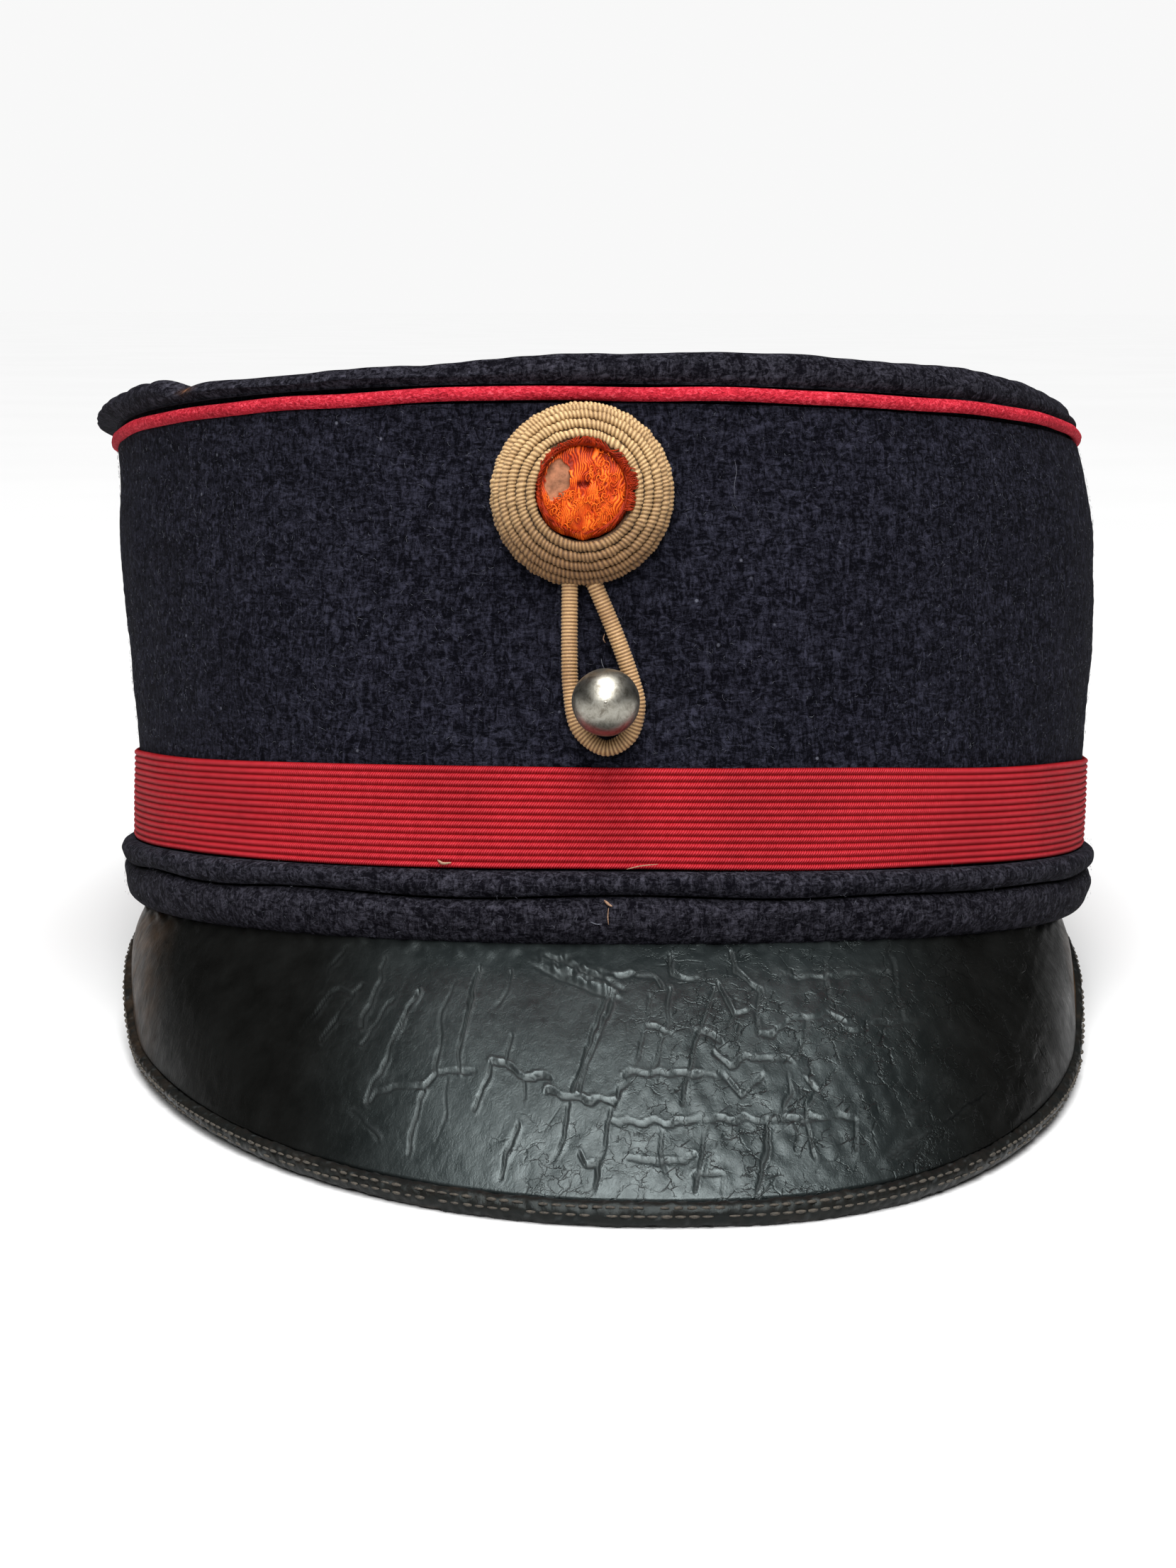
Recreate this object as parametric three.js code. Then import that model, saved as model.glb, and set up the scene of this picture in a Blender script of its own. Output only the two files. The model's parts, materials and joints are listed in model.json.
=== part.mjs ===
// A peaked kepi cap: a stiff navy wool wall on an oval headband, a sunk flat top with a rolled rim, crimson
// piping under the rim, a ribbed crimson ribbon, a rolled hem, a stiff black leather peak with a bound
// edge, and on the front a gimp cockade with a silk centre whose cord loop is caught on a ball button.
//
// Millimetres. The cap is drawn in its own upright frame: x to the wearer's left (the viewer's right), y
// towards the back, z up, z = 0 at the hem's lower edge. At the end it is tipped back onto the surface that
// it rests on, where it stands on the peak's bound edge and on the back of the hem.
import * as THREE from "three";

// ---- driving dimensions ----
const HALF_LENGTH = 101; // front to back, outside of the wall
const ROUNDNESS = 2.2; // exponent of the oval: 2 is an ellipse, more is squarer
const WALL = 2.4; // wool cloth over its stiffener
const GAP = 0.35; // clearance between neighbouring pieces
const RIBBON = 0.6; // thickness of the ribbed ribbon
const PIPING_RADIUS = 1;
const LEATHER = 2; // the peak's thickness
const TIP_RISE = 32.4; // how far the peak's tip drops below the hem
const TIP_REACH = 141; // the peak's tip, in front of the cap's centre
const TURNS = 60; // facets round the cap

// The wall's oval leans a little to the wearer's right as it rises and swells in the middle.
const WALL_LEVELS = [
  { z: 0, centre: -0.7, halfWidth: 81.7 },
  { z: 11, centre: -0.5, halfWidth: 81.8 },
  { z: 26, centre: -0.1, halfWidth: 82 },
  { z: 38, centre: -0.3, halfWidth: 83.2 },
  { z: 51, centre: -0.6, halfWidth: 83.8 },
  { z: 63, centre: -0.9, halfWidth: 84.3 },
  { z: 71, centre: -1.6, halfWidth: 83.7 },
  { z: 78, centre: -3, halfWidth: 83 },
  { z: 85, centre: -3.3, halfWidth: 81.8 },
];

// The rim's crest by the angle from the front in degrees: how far it rises, and how far it is pushed out.
// It sags beside the front on both sides, and on the wearer's right it is pinched out into an ear.
const RIM_SHAPE = [
  { angle: -180, rise: 0, out: 0 },
  { angle: -125, rise: 0, out: 0 },
  { angle: -105, rise: -0.8, out: 1.2 },
  { angle: -90, rise: -1.6, out: 3 },
  { angle: -78, rise: -1.2, out: 2.6 },
  { angle: -60, rise: 0.1, out: 0.6 },
  { angle: -45, rise: -1.4, out: 0 },
  { angle: -28, rise: -1.6, out: 0 },
  { angle: -10, rise: -0.9, out: 0 },
  { angle: 0, rise: 0, out: 0 },
  { angle: 45, rise: 0.4, out: 0 },
  { angle: 60, rise: -0.3, out: -0.5 },
  { angle: 80, rise: -0.8, out: -0.6 },
  { angle: 110, rise: -0.3, out: 0 },
  { angle: 180, rise: 0, out: 0 },
];
const SIDE_DROP = 0.8; // how much lower the ribbon, welt and hem run on the wearer's left

// Heights of the seams, from the hem upwards.
const WALL_FOOT = 2;
const RIBBON_FOOT = 11.45;
const RIBBON_TOP = 25.4;
const PIPING_HEIGHT = 78.2;
const WALL_TOP = PIPING_HEIGHT - PIPING_RADIUS - GAP;
const LIP_TOP = 80.6; // the wall's thinned upper lip, inside the rim
const LIP = 1.1;
const RIM_FOOT = PIPING_HEIGHT + PIPING_RADIUS + GAP;
const TOP_FACE = 82.6; // the sunk top's upper face
const TOP_UNDERSIDE = LIP_TOP + GAP;

// The peak's bound edge is half an oval in plan, fuller on the wearer's left. It lies on the resting plane
// round the front and rises to the hem at the peak's two corners.
const EDGE_CENTRE = { x: 5, y: -20 };
const EDGE_RIGHT = { halfWidth: 86, roundness: 2.05 }; // the wearer's right
const EDGE_LEFT = { halfWidth: 72.5, roundness: 2.5 };
const PEAK_SWEEP = 80; // degrees each side of the front that the peak is sewn to
const PEAK_CORNER_DROP = 5.2; // the bound edge below the hem at the corners
const RISE_FROM = 0.7; // the share of the way to a corner where the edge leaves the resting plane
const PEAK_ARCH = 2; // how far the leather arches above a straight line, less towards the corners
const SEWN_DROP = 0.8; // the peak's sewn edge below the hem
const BINDING = { width: 3.3, thickness: 3, gap: 0.7, height: 1.9 }; // height above the resting surface

const COCKADE = { x: -4.2, z: 63.9, radius: 13.05, hole: 6.9, height: 5, turns: 5 };
const BUTTON = { x: -0.9, z: 34.8, radius: 4.5, stand: 6.8, shank: 1.5 };
const LOOP_RADIUS = 1.15;
const LOOP_ROUTE = [
  { x: -5.9, z: 50.4 },
  { x: -5.9, z: 42 },
  { x: -5.7, z: 36.5 },
  { x: -4.6, z: 30.6 },
  { x: -1, z: 28 },
  { x: 2.6, z: 29.8 },
  { x: 4, z: 33.8 },
  { x: 3.2, z: 37.5 },
  { x: 0.4, z: 43.5 },
  { x: -2, z: 50.2 },
];

const radians = THREE.MathUtils.degToRad;
const { smoothstep } = THREE.MathUtils;
const REST_SLOPE = TIP_RISE / (TIP_REACH + HALF_LENGTH);
const REST_TILT = Math.atan(REST_SLOPE);

const cloth = new THREE.MeshStandardMaterial({ color: 0x1b1c28, roughness: 0.95, metalness: 0 });
const crimson = new THREE.MeshStandardMaterial({ color: 0xb6303a, roughness: 0.8, metalness: 0 });
const leather = new THREE.MeshStandardMaterial({ color: 0x17181a, roughness: 0.35, metalness: 0 });
const gimp = new THREE.MeshStandardMaterial({ color: 0xb08a58, roughness: 0.75, metalness: 0 });
const silk = new THREE.MeshStandardMaterial({ color: 0xd4501c, roughness: 0.5, metalness: 0 });
const steel = new THREE.MeshStandardMaterial({ color: 0x9d978c, roughness: 0.25, metalness: 1 });

// ---- the oval that every ring follows ----

// A column of a table where its key column has the value, on straight lines between the rows.
function tabled(table, key, value, column) {
  const above = table.findIndex((row) => row[key] >= value);
  if (above <= 0) return table.at(above)[column];
  const [low, high] = [table[above - 1], table[above]];
  return THREE.MathUtils.mapLinear(value, low[key], high[key], low[column], high[column]);
}

const level = (column, z) => tabled(WALL_LEVELS, "z", z, column);

// The point at angle phi (0 is the front, growing towards +x) and height z, `out` outside the wall.
function wallPoint(phi, z, out) {
  const halfWidth = level("halfWidth", z);
  const bend = (value) => Math.sign(value) * Math.abs(value) ** (2 / ROUNDNESS);
  const [across, along] = [bend(Math.sin(phi)), -bend(Math.cos(phi))];
  const slope = (value, half) => (Math.sign(value) * Math.abs(value) ** (ROUNDNESS - 1)) / half;
  const normal = new THREE.Vector3(slope(across, halfWidth), slope(along, HALF_LENGTH), 0).normalize();
  const surface = new THREE.Vector3(level("centre", z) + across * halfWidth, along * HALF_LENGTH, z);
  return surface.addScaledVector(normal, out);
}

// The rim, with its crest moved as the table says. The flat top inside it and the seam under it stay put.
function rimShape(phi, z, out) {
  const share = smoothstep(z, TOP_UNDERSIDE, TOP_FACE);
  const angle = THREE.MathUtils.radToDeg(phi);
  const push = share * smoothstep(out, -3, -1) * tabled(RIM_SHAPE, "angle", angle, "out");
  const rise = share * smoothstep(out, -4.5, -2) * tabled(RIM_SHAPE, "angle", angle, "rise");
  return wallPoint(phi, z, out + push).add(new THREE.Vector3(0, 0, rise));
}

// A band that runs lower on the wearer's left.
function bandShape(phi, z, out) {
  return wallPoint(phi, z, out).add(new THREE.Vector3(0, 0, -SIDE_DROP * smoothstep(Math.sin(phi), 0, 1)));
}

// A ring or a lid round the cap. Its profile is [out, z] pairs; a lid's starts and ends on the axis.
const AXIS_RADIUS = 100;
const RIM_BAND = 6; // outside this distance from the wall, a lid's points are scaled towards the centre
function ring(profile, turns = TURNS, shape = wallPoint) {
  const points = profile.map(([out, z]) => new THREE.Vector2(AXIS_RADIUS + out, z));
  const geometry = new THREE.LatheGeometry(points, turns);
  const position = geometry.getAttribute("position");
  const vertex = new THREE.Vector3();
  for (let i = 0; i < position.count; i++) {
    vertex.fromBufferAttribute(position, i);
    const radius = Math.hypot(vertex.x, vertex.z);
    const phi = Math.atan2(vertex.x, vertex.z);
    const inner = AXIS_RADIUS - RIM_BAND;
    const share = Math.min(1, radius / inner);
    const made = shape(phi, vertex.y, Math.max(radius, inner) - AXIS_RADIUS);
    position.setXYZ(i, made.x * share, made.y * share, made.z);
  }
  return geometry;
}

const closed = (profile) => [...profile, profile[0]];

// ---- cloth, piping and ribbon ----

function wallGeometry() {
  const outside = [WALL_FOOT, 26, 51, 71, WALL_TOP].map((z) => [0, z]);
  const inside = [WALL_FOOT, 26, 63].map((z) => [-WALL, z]).reverse();
  const lip = [
    [LIP - WALL, WALL_TOP],
    [LIP - WALL, LIP_TOP],
    [-WALL, LIP_TOP],
  ];
  return ring(closed([...outside, ...lip, ...inside]));
}

function topGeometry() {
  return ring(
    [
      [-AXIS_RADIUS, TOP_UNDERSIDE],
      [LIP - WALL + GAP, TOP_UNDERSIDE],
      [LIP - WALL + GAP, RIM_FOOT],
      [0.3, RIM_FOOT],
      [1, 80.6],
      [1.1, 82],
      [0.5, 83.4],
      [-0.6, 84],
      [-1.9, 83.8],
      [-3, 82.9],
      [-4.5, TOP_FACE],
      [-RIM_BAND, TOP_FACE],
      [-AXIS_RADIUS, TOP_FACE],
    ],
    TURNS,
    rimShape,
  );
}

function pipingGeometry() {
  const sides = 6;
  const section = Array.from({ length: sides }, (_, i) => {
    const turn = (2 * Math.PI * i) / sides;
    return [0.1 + PIPING_RADIUS * Math.cos(turn), PIPING_HEIGHT + PIPING_RADIUS * Math.sin(turn)];
  });
  return ring(closed(section));
}

function ribbonGeometry() {
  return ring(
    closed([
      [GAP, RIBBON_FOOT],
      [GAP + RIBBON, RIBBON_FOOT],
      [GAP + RIBBON, RIBBON_TOP],
      [GAP, RIBBON_TOP],
    ]),
    TURNS,
    bandShape,
  );
}

function hemGeometry() {
  return ring(
    closed([
      [-2.2, 0.3],
      [-0.5, 0],
      [0.4, 0.35],
      [1.2, 1.3],
      [1.9, 3.2],
      [2.1, 5.2],
      [1.5, 6.5],
      [GAP, 6.65],
      [GAP, WALL_FOOT - GAP],
      [-2.2, WALL_FOOT - GAP],
    ]),
    TURNS,
    bandShape,
  );
}

function weltGeometry() {
  return ring(
    closed([
      [GAP, 7.1],
      [1.5, 7],
      [2.3, 7.9],
      [2.5, 9],
      [2.2, 10.2],
      [1.5, 11],
      [GAP, 11.05],
    ]),
    TURNS,
    bandShape,
  );
}

// ---- the peak ----

// The bound edge at s, from -1 at one corner to 1 at the other.
function edgePoint(s) {
  const { halfWidth, roundness } = s < 0 ? EDGE_RIGHT : EDGE_LEFT;
  const turn = (Math.PI / 2) * s;
  const x = EDGE_CENTRE.x + halfWidth * Math.sign(s) * Math.abs(Math.sin(turn)) ** (2 / roundness);
  const y = EDGE_CENTRE.y - (TIP_REACH + EDGE_CENTRE.y) * Math.cos(turn);
  const lying = (y - HALF_LENGTH) * REST_SLOPE + BINDING.height;
  const rise = smoothstep(Math.abs(s), RISE_FROM, 1);
  return new THREE.Vector3(x, y, THREE.MathUtils.lerp(lying, -PEAK_CORNER_DROP, rise));
}

const sewnPoint = (s) => bandShape(radians(PEAK_SWEEP * s), -SEWN_DROP, -1);

// The directions across the leather at s: down its slope, and out of its upper face.
function peakAxes(s) {
  const step = 0.01;
  const down = edgePoint(s).sub(sewnPoint(s)).normalize();
  const along = edgePoint(s + step).sub(edgePoint(s - step));
  return { down, out: along.cross(down).negate().normalize() };
}

// A box with many facets whose corners and faces are carried to place(u, v, w), each from -0.5 to 0.5.
function shapedBox(segments, place) {
  const geometry = new THREE.BoxGeometry(1, 1, 1, ...segments);
  const position = geometry.getAttribute("position");
  const vertex = new THREE.Vector3();
  for (let i = 0; i < position.count; i++) {
    vertex.fromBufferAttribute(position, i);
    const made = place(vertex.x, vertex.y, vertex.z);
    position.setXYZ(i, made.x, made.y, made.z);
  }
  return geometry;
}

function peakGeometry() {
  return shapedBox([36, 4, 1], (u, v, w) => {
    const s = 2 * u;
    const t = 0.5 - v;
    const { down, out } = peakAxes(s);
    const sewn = sewnPoint(s);
    const free = edgePoint(s).addScaledVector(down, -BINDING.width - BINDING.gap);
    const arch = PEAK_ARCH * 4 * t * (1 - t) * (1 - smoothstep(Math.abs(s), RISE_FROM, 1));
    return sewn.lerp(free, t).addScaledVector(out, arch + (w - 0.5) * LEATHER);
  });
}

function bindingGeometry() {
  return shapedBox([36, 2, 2], (u, v, w) => {
    const { down, out } = peakAxes(2 * u);
    const round = (a, b) => a * Math.sqrt(1 - 2 * b * b * 0.6);
    const across = (round(-v, w) - 0.5) * BINDING.width;
    const lift = round(w, v) * BINDING.thickness - LEATHER / 2;
    return edgePoint(2 * u)
      .addScaledVector(down, across)
      .addScaledVector(out, lift);
  });
}

// ---- the cockade, its loop and its button ----

// A wound ring of gimp: a dome whose upper face has one bulge for each turn of the cord.
function cockadeGeometry() {
  const { radius, hole, height, turns } = COCKADE;
  const steps = 3 * turns;
  const upper = Array.from({ length: steps + 1 }, (_, i) => {
    const share = i / steps;
    const bulge = 0.35 * Math.abs(Math.sin(Math.PI * turns * share));
    const dome = height * Math.cos(share * 1.2);
    return new THREE.Vector2(hole + share * (radius - hole) + bulge * share, dome + bulge * (1 - share));
  });
  const foot = [new THREE.Vector2(hole, 0), new THREE.Vector2(radius, 0)];
  return new THREE.LatheGeometry([...foot, ...upper.reverse(), foot[0]], 32);
}

function cockadeCentreGeometry() {
  const edge = COCKADE.hole - GAP;
  const profile = [
    [0, 0],
    [edge, 0],
    [edge, 4.2],
    [edge * 0.85, 5.2],
    [edge * 0.5, 5.9],
    [0, 6.1],
  ];
  return new THREE.LatheGeometry(
    profile.map(([radius, lift]) => new THREE.Vector2(radius, lift)),
    32,
  );
}

function buttonGeometry() {
  const { radius, stand, shank } = BUTTON;
  const neck = Math.asin(shank / radius);
  const steps = 9;
  const arc = Array.from({ length: steps + 1 }, (_, i) => {
    const turn = THREE.MathUtils.lerp(neck, Math.PI, i / steps);
    return new THREE.Vector2(Math.max(0, radius * Math.sin(turn)), stand - radius * Math.cos(turn));
  });
  arc[steps].x = 0;
  return new THREE.LatheGeometry([new THREE.Vector2(0, 0), new THREE.Vector2(shank, 0), ...arc], 20);
}

// The front wall's point straight behind (x, z), `out` millimetres outside it.
function frontPoint({ x, z }, out) {
  const across = (x - level("centre", z)) / level("halfWidth", z);
  const phi = Math.asin(Math.sign(across) * Math.abs(across) ** (ROUNDNESS / 2));
  return wallPoint(phi, z, out);
}

function loopGeometry() {
  const route = new THREE.CatmullRomCurve3(LOOP_ROUTE.map((at) => frontPoint(at, LOOP_RADIUS + GAP)));
  const section = new THREE.Shape().absarc(0, 0, LOOP_RADIUS, 0, 2 * Math.PI);
  return new THREE.ExtrudeGeometry(section, { steps: 32, curveSegments: 4, extrudePath: route });
}

// ---- assembly ----

function piece(name, geometry, material) {
  const mesh = new THREE.Mesh(geometry, material);
  mesh.name = name;
  return mesh;
}

// A lathed trim that stands on the front wall, its axis pointing forwards.
function onFront(mesh, at) {
  mesh.rotation.x = Math.PI;
  mesh.position.copy(frontPoint(at, GAP));
  return mesh;
}

const cap = new THREE.Group();
cap.add(
  piece("crown_wall", wallGeometry(), cloth),
  piece("crown_top", topGeometry(), cloth),
  piece("top_piping", pipingGeometry(), crimson),
  piece("ribbon_band", ribbonGeometry(), crimson),
  piece("upper_welt", weltGeometry(), cloth),
  piece("lower_hem", hemGeometry(), cloth),
  piece("peak", peakGeometry(), leather),
  piece("peak_binding", bindingGeometry(), leather),
  piece("button_loop", loopGeometry(), gimp),
  onFront(piece("cockade_coil", cockadeGeometry(), gimp), COCKADE),
  onFront(piece("cockade_centre", cockadeCentreGeometry(), silk), COCKADE),
  onFront(piece("ball_button", buttonGeometry(), steel), BUTTON),
);

// Tip the cap back onto its resting plane, with the origin at the bottom centre of its box.
cap.rotation.x = -REST_TILT;
cap.updateMatrixWorld(true);
const box = new THREE.Box3().setFromObject(cap, true);
const centre = box.getCenter(new THREE.Vector3());
cap.position.set(-centre.x, -centre.y, -box.min.z);

const kepi = new THREE.Group();
kepi.add(cap);

export default kepi;
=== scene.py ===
"""The looks of a peaked wool kepi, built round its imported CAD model.

Shapes are worked out in millimetres in the cap's own upright frame: x to the wearer's left, y to the back,
z up from the hem's lower edge. `place` then sets them in the model's frame, tipped back as the cap rests.
"""

import json
import math

import bpy
import numpy as np
from mathutils import Matrix, Vector


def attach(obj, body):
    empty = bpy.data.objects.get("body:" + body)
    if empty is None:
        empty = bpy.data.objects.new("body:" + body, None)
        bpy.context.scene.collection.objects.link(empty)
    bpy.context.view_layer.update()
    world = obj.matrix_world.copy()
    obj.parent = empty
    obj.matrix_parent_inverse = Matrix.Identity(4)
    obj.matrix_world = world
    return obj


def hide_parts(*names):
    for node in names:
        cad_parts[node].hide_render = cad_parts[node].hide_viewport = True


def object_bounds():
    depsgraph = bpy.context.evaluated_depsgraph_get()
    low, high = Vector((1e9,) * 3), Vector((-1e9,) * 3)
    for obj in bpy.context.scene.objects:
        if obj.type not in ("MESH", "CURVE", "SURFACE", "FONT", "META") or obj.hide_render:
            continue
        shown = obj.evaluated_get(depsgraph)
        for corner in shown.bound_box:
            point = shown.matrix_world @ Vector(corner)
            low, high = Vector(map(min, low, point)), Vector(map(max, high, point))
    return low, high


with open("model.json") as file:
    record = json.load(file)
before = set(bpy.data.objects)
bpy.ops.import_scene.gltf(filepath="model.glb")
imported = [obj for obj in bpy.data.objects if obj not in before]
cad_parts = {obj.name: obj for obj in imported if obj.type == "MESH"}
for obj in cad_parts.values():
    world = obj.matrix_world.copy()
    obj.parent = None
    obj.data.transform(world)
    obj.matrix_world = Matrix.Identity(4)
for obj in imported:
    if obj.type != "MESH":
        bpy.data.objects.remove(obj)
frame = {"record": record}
CAD_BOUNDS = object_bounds()
MM = 0.001

# ---- the cap's dimensions, as in the CAD model ----

HALF_LENGTH = 101
MEAN_RADIUS = 90
ROUNDNESS = 2.2
WALL = 2.4
GAP = 0.35
TOP_FACE = 82.6
RIM_INSIDE = -4.2
RIM_ROLL = {"radius": 2.25, "out": -1.1, "z": 81.75}
PIPING_HEIGHT = 78.2
PIPING_RADIUS = 1.0
WALL_FOOT = 2
WALL_TOP = 76.85
LIP_TOP = 80.6
LIP = 1.1
RIM_FOOT = 79.55
RIBBON_FOOT = 10.8
RIBBON_TOP = 25.4
TIP_RISE = 32.4
TIP_REACH = 141
REST_SLOPE = TIP_RISE / (TIP_REACH + HALF_LENGTH)

WALL_LEVELS = np.array(
    [(0, -0.7, 81.7), (11, -0.5, 81.8), (26, -0.1, 82), (38, -0.3, 83.2), (51, -0.6, 83.8)]
    + [(63, -0.9, 84.3), (71, -1.6, 83.7), (78, -3, 83), (85, -3.3, 81.8)],
    dtype=[("z", float), ("centre", float), ("half_width", float)],
)

# How the rim's crest rises and bulges out, by the angle from the front, negative on the wearer's right.
RIM_SHAPE = np.array(
    [(-180, 0, 0), (-125, 0, 0), (-105, -0.8, 1.2), (-92, -1.9, 2.8), (-84, -1.8, 3.1), (-76, -1.1, 2.3)]
    + [(-68, -0.3, 1.2), (-60, 0.1, 0.5), (-52, -0.5, 0.1), (-45, -1.3, 0), (-35, -1.8, 0), (-28, -1.9, 0)]
    + [(-22, -1.5, 0), (-14, -1.3, 0), (-7, -0.8, 0), (-2, -0.1, 0), (4, 0, 0), (10, 0.5, 0), (17, 0.4, 0)]
    + [(25, 0.1, 0), (34, 0.5, 0), (42, 0.5, 0), (52, 0.1, -0.2), (60, -0.3, -0.8), (75, -0.8, -1.4)]
    + [(90, -0.6, -1.3), (110, -0.3, -0.4), (180, 0, 0)],
    dtype=[("angle", float), ("rise", float), ("out", float)],
)

WORN_SPOT = {"angle": -46.5, "z": 81.4}
SEAM_X = -0.8
COCKADE = {"x": -4.2, "z": 63.9}
SILK_PAD = {"x": COCKADE["x"] + 0.15, "z": COCKADE["z"] + 0.65}
SILK_RADIUS = 7.0
SILK_FOOT_RADIUS = 6.4
DOME = {"width": 5.4, "foot": 0.75, "height": 4.2}
BUTTON = {"x": -0.8, "z": 34.7, "radius": 4.75, "stand": 6.8, "shank": 1.5}
LOOP_RADIUS = 1.2
LOOP_ROUTE = [(-5.9, 51.5), (-5.9, 50.4), (-5.9, 42), (-5.7, 36.5), (-4.6, 31), (-1, 28.2)]
LOOP_ROUTE += [(2.4, 29.8), (3.6, 33.8), (2.9, 37.5), (0.8, 43.5), (-2.0, 50.2), (-2.6, 51.5)]

EDGE_CENTRE = (5, -20)
EDGE_RIGHT = {"half_width": 86, "roundness": 2.05}
EDGE_LEFT = {"half_width": 72.5, "roundness": 2.5}
PEAK_SWEEP = math.radians(80)
PEAK_CORNER_DROP = 5.2
RISE_FROM = 0.7
PEAK_ARCH = 2
LEATHER = 2
BINDING = {"width": 3.3, "thickness": 3.4, "height": 1.9, "inset": 1.15, "sink": 1.05}
SIDE_DROP = 0.8
SEWN_TUCK = 1.0
FRONT_SPACING = 0.46
WALL_COLUMNS, TOP_COLUMNS, PIPING_COLUMNS, RIBBON_COLUMNS = 640, 560, 900, 720
CORNER_LEAN = 0.016

# ---- placing ----

MOUNTS = {m["name"]: m for m in frame["record"]["mounts"]}
TOP_MOUNT = MOUNTS["crown_top_face"]
TILT = math.atan2(TOP_MOUNT["axis"][1], TOP_MOUNT["axis"][2])
PLACE = (
    Matrix.Translation(TOP_MOUNT["pos_m"])
    @ Matrix.Rotation(-TILT, 4, "X")
    @ Matrix.Scale(MM, 4)
    @ Matrix.Translation((0, 0, -TOP_FACE))
)
PLACE_MATRIX = np.array(PLACE)


def place(points):
    """Points of the cap's own frame, in the model's frame."""
    return points @ PLACE_MATRIX[:3, :3].T + PLACE_MATRIX[:3, 3]


# ---- mesh helpers ----


def add_mesh(name, points, faces, material, replaces, attributes=None):
    """A piece from points in the cap's frame. Attributes are one number a point, for its material."""
    mesh = bpy.data.meshes.new(name)
    mesh.vertices.add(len(points))
    mesh.vertices.foreach_set("co", place(points).astype(np.float32).ravel())
    sizes = np.array([len(face) for face in faces])
    corners = np.concatenate(faces)
    mesh.loops.add(len(corners))
    mesh.loops.foreach_set("vertex_index", corners.astype(np.int32))
    mesh.polygons.add(len(sizes))
    mesh.polygons.foreach_set("loop_start", (np.cumsum(sizes) - sizes).astype(np.int32))
    mesh.update(calc_edges=True)
    mesh.polygons.foreach_set("use_smooth", np.ones(len(sizes), bool))
    for key, values in (attributes or {}).items():
        layer = mesh.attributes.new(key, "FLOAT", "POINT")
        layer.data.foreach_set("value", np.asarray(values, dtype=np.float32).ravel())
    mesh.validate()
    piece = bpy.data.objects.new(name, mesh)
    bpy.context.scene.collection.objects.link(piece)
    mesh.materials.append(material)
    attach(piece, "root")
    if replaces:
        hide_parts(*replaces)


def grid_faces(rows, columns, wrap_rows=False, wrap_columns=False):
    """Quads of a grid whose point (i, j) is number i * columns + j."""
    i, j = np.meshgrid(
        np.arange(rows if wrap_rows else rows - 1),
        np.arange(columns if wrap_columns else columns - 1),
        indexing="ij",
    )
    i2, j2 = (i + 1) % rows, (j + 1) % columns
    quads = np.stack([i * columns + j, i2 * columns + j, i2 * columns + j2, i * columns + j2], axis=-1)
    return quads.reshape(-1, 4)


def run_length(points):
    """The length run from the first point to each point of a line."""
    return np.concatenate([[0], np.cumsum(np.linalg.norm(np.diff(points, axis=0), axis=1))])


def at_lengths(stations, length, points):
    """The line's points at the stations, where length is its run_length."""
    return np.stack([np.interp(stations, length, points[:, k]) for k in range(3)], axis=1)


def along_route(route, spacing):
    """Evenly spaced points on a smooth curve through the route."""
    route = np.asarray(route, dtype=float)
    padded = np.vstack([2 * route[0] - route[1], route, 2 * route[-1] - route[-2]])
    t = np.linspace(0, 1, 24, endpoint=False)[:, None]
    pieces = []
    for a, b, c, d in zip(padded, padded[1:], padded[2:], padded[3:]):
        square = 2 * a - 5 * b + 4 * c - d
        cube = 3 * b - a - 3 * c + d
        pieces.append(0.5 * (2 * b + (c - a) * t + square * t**2 + cube * t**3))
    fine = np.vstack([*pieces, route[-1:]])
    length = run_length(fine)
    stations = np.linspace(0, length[-1], max(2, round(length[-1] / spacing) + 1))
    return at_lengths(stations, length, fine), stations


def tube(centres, radii, sides, up=(0.0, -1.0, 0.0)):
    """A closed tube round centres. The radii are one for each centre, or one for each side of each ring."""
    tangents = np.gradient(centres, axis=0)
    tangents /= np.linalg.norm(tangents, axis=1)[:, None]
    side = np.cross(tangents, np.asarray(up, dtype=float))
    side /= np.linalg.norm(side, axis=1)[:, None] + 1e-9
    top = np.cross(side, tangents)
    turn = round_angles(sides)
    radii = np.broadcast_to(np.asarray(radii, dtype=float).reshape(len(centres), -1), (len(centres), sides))
    offsets = np.cos(turn)[None, :, None] * side[:, None] + np.sin(turn)[None, :, None] * top[:, None]
    points = (centres[:, None] + offsets * radii[..., None]).reshape(-1, 3)
    faces = grid_faces(len(centres), sides, wrap_columns=True)
    points = np.vstack([points, centres[:1], centres[-1:]])
    first, last = len(points) - 2, len(points) - 1
    ring = np.arange(sides)
    nxt = (ring + 1) % sides
    base = (len(centres) - 1) * sides
    start = np.stack([ring, nxt, np.full(sides, first)], axis=1)
    end = np.stack([base + nxt, base + ring, np.full(sides, last)], axis=1)
    return points, faces, np.concatenate([start, end])


def joined_tubes(tubes):
    """The points and faces of many tubes, as one mesh."""
    points, faces, count = [], [], 0
    for tube_points, quads, caps in tubes:
        points.append(tube_points)
        faces.extend([*(quads + count), *(caps + count)])
        count += len(tube_points)
    return np.vstack(points), faces


def turned_faces(spokes, rings):
    """Faces of a shape turned round an axis, a row of points for each spoke, with both ends closed."""
    first = np.arange(spokes) * rings
    return [*grid_faces(spokes, rings, wrap_rows=True), first, (first + rings - 1)[::-1]]


def drawn_faces(rows, sides):
    """Faces of a closed outline drawn along a path, a row of points a station, with both ends closed."""
    ring = np.arange(sides)
    return [*grid_faces(rows, sides, wrap_columns=True), ring[::-1], (rows - 1) * sides + ring]


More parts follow.
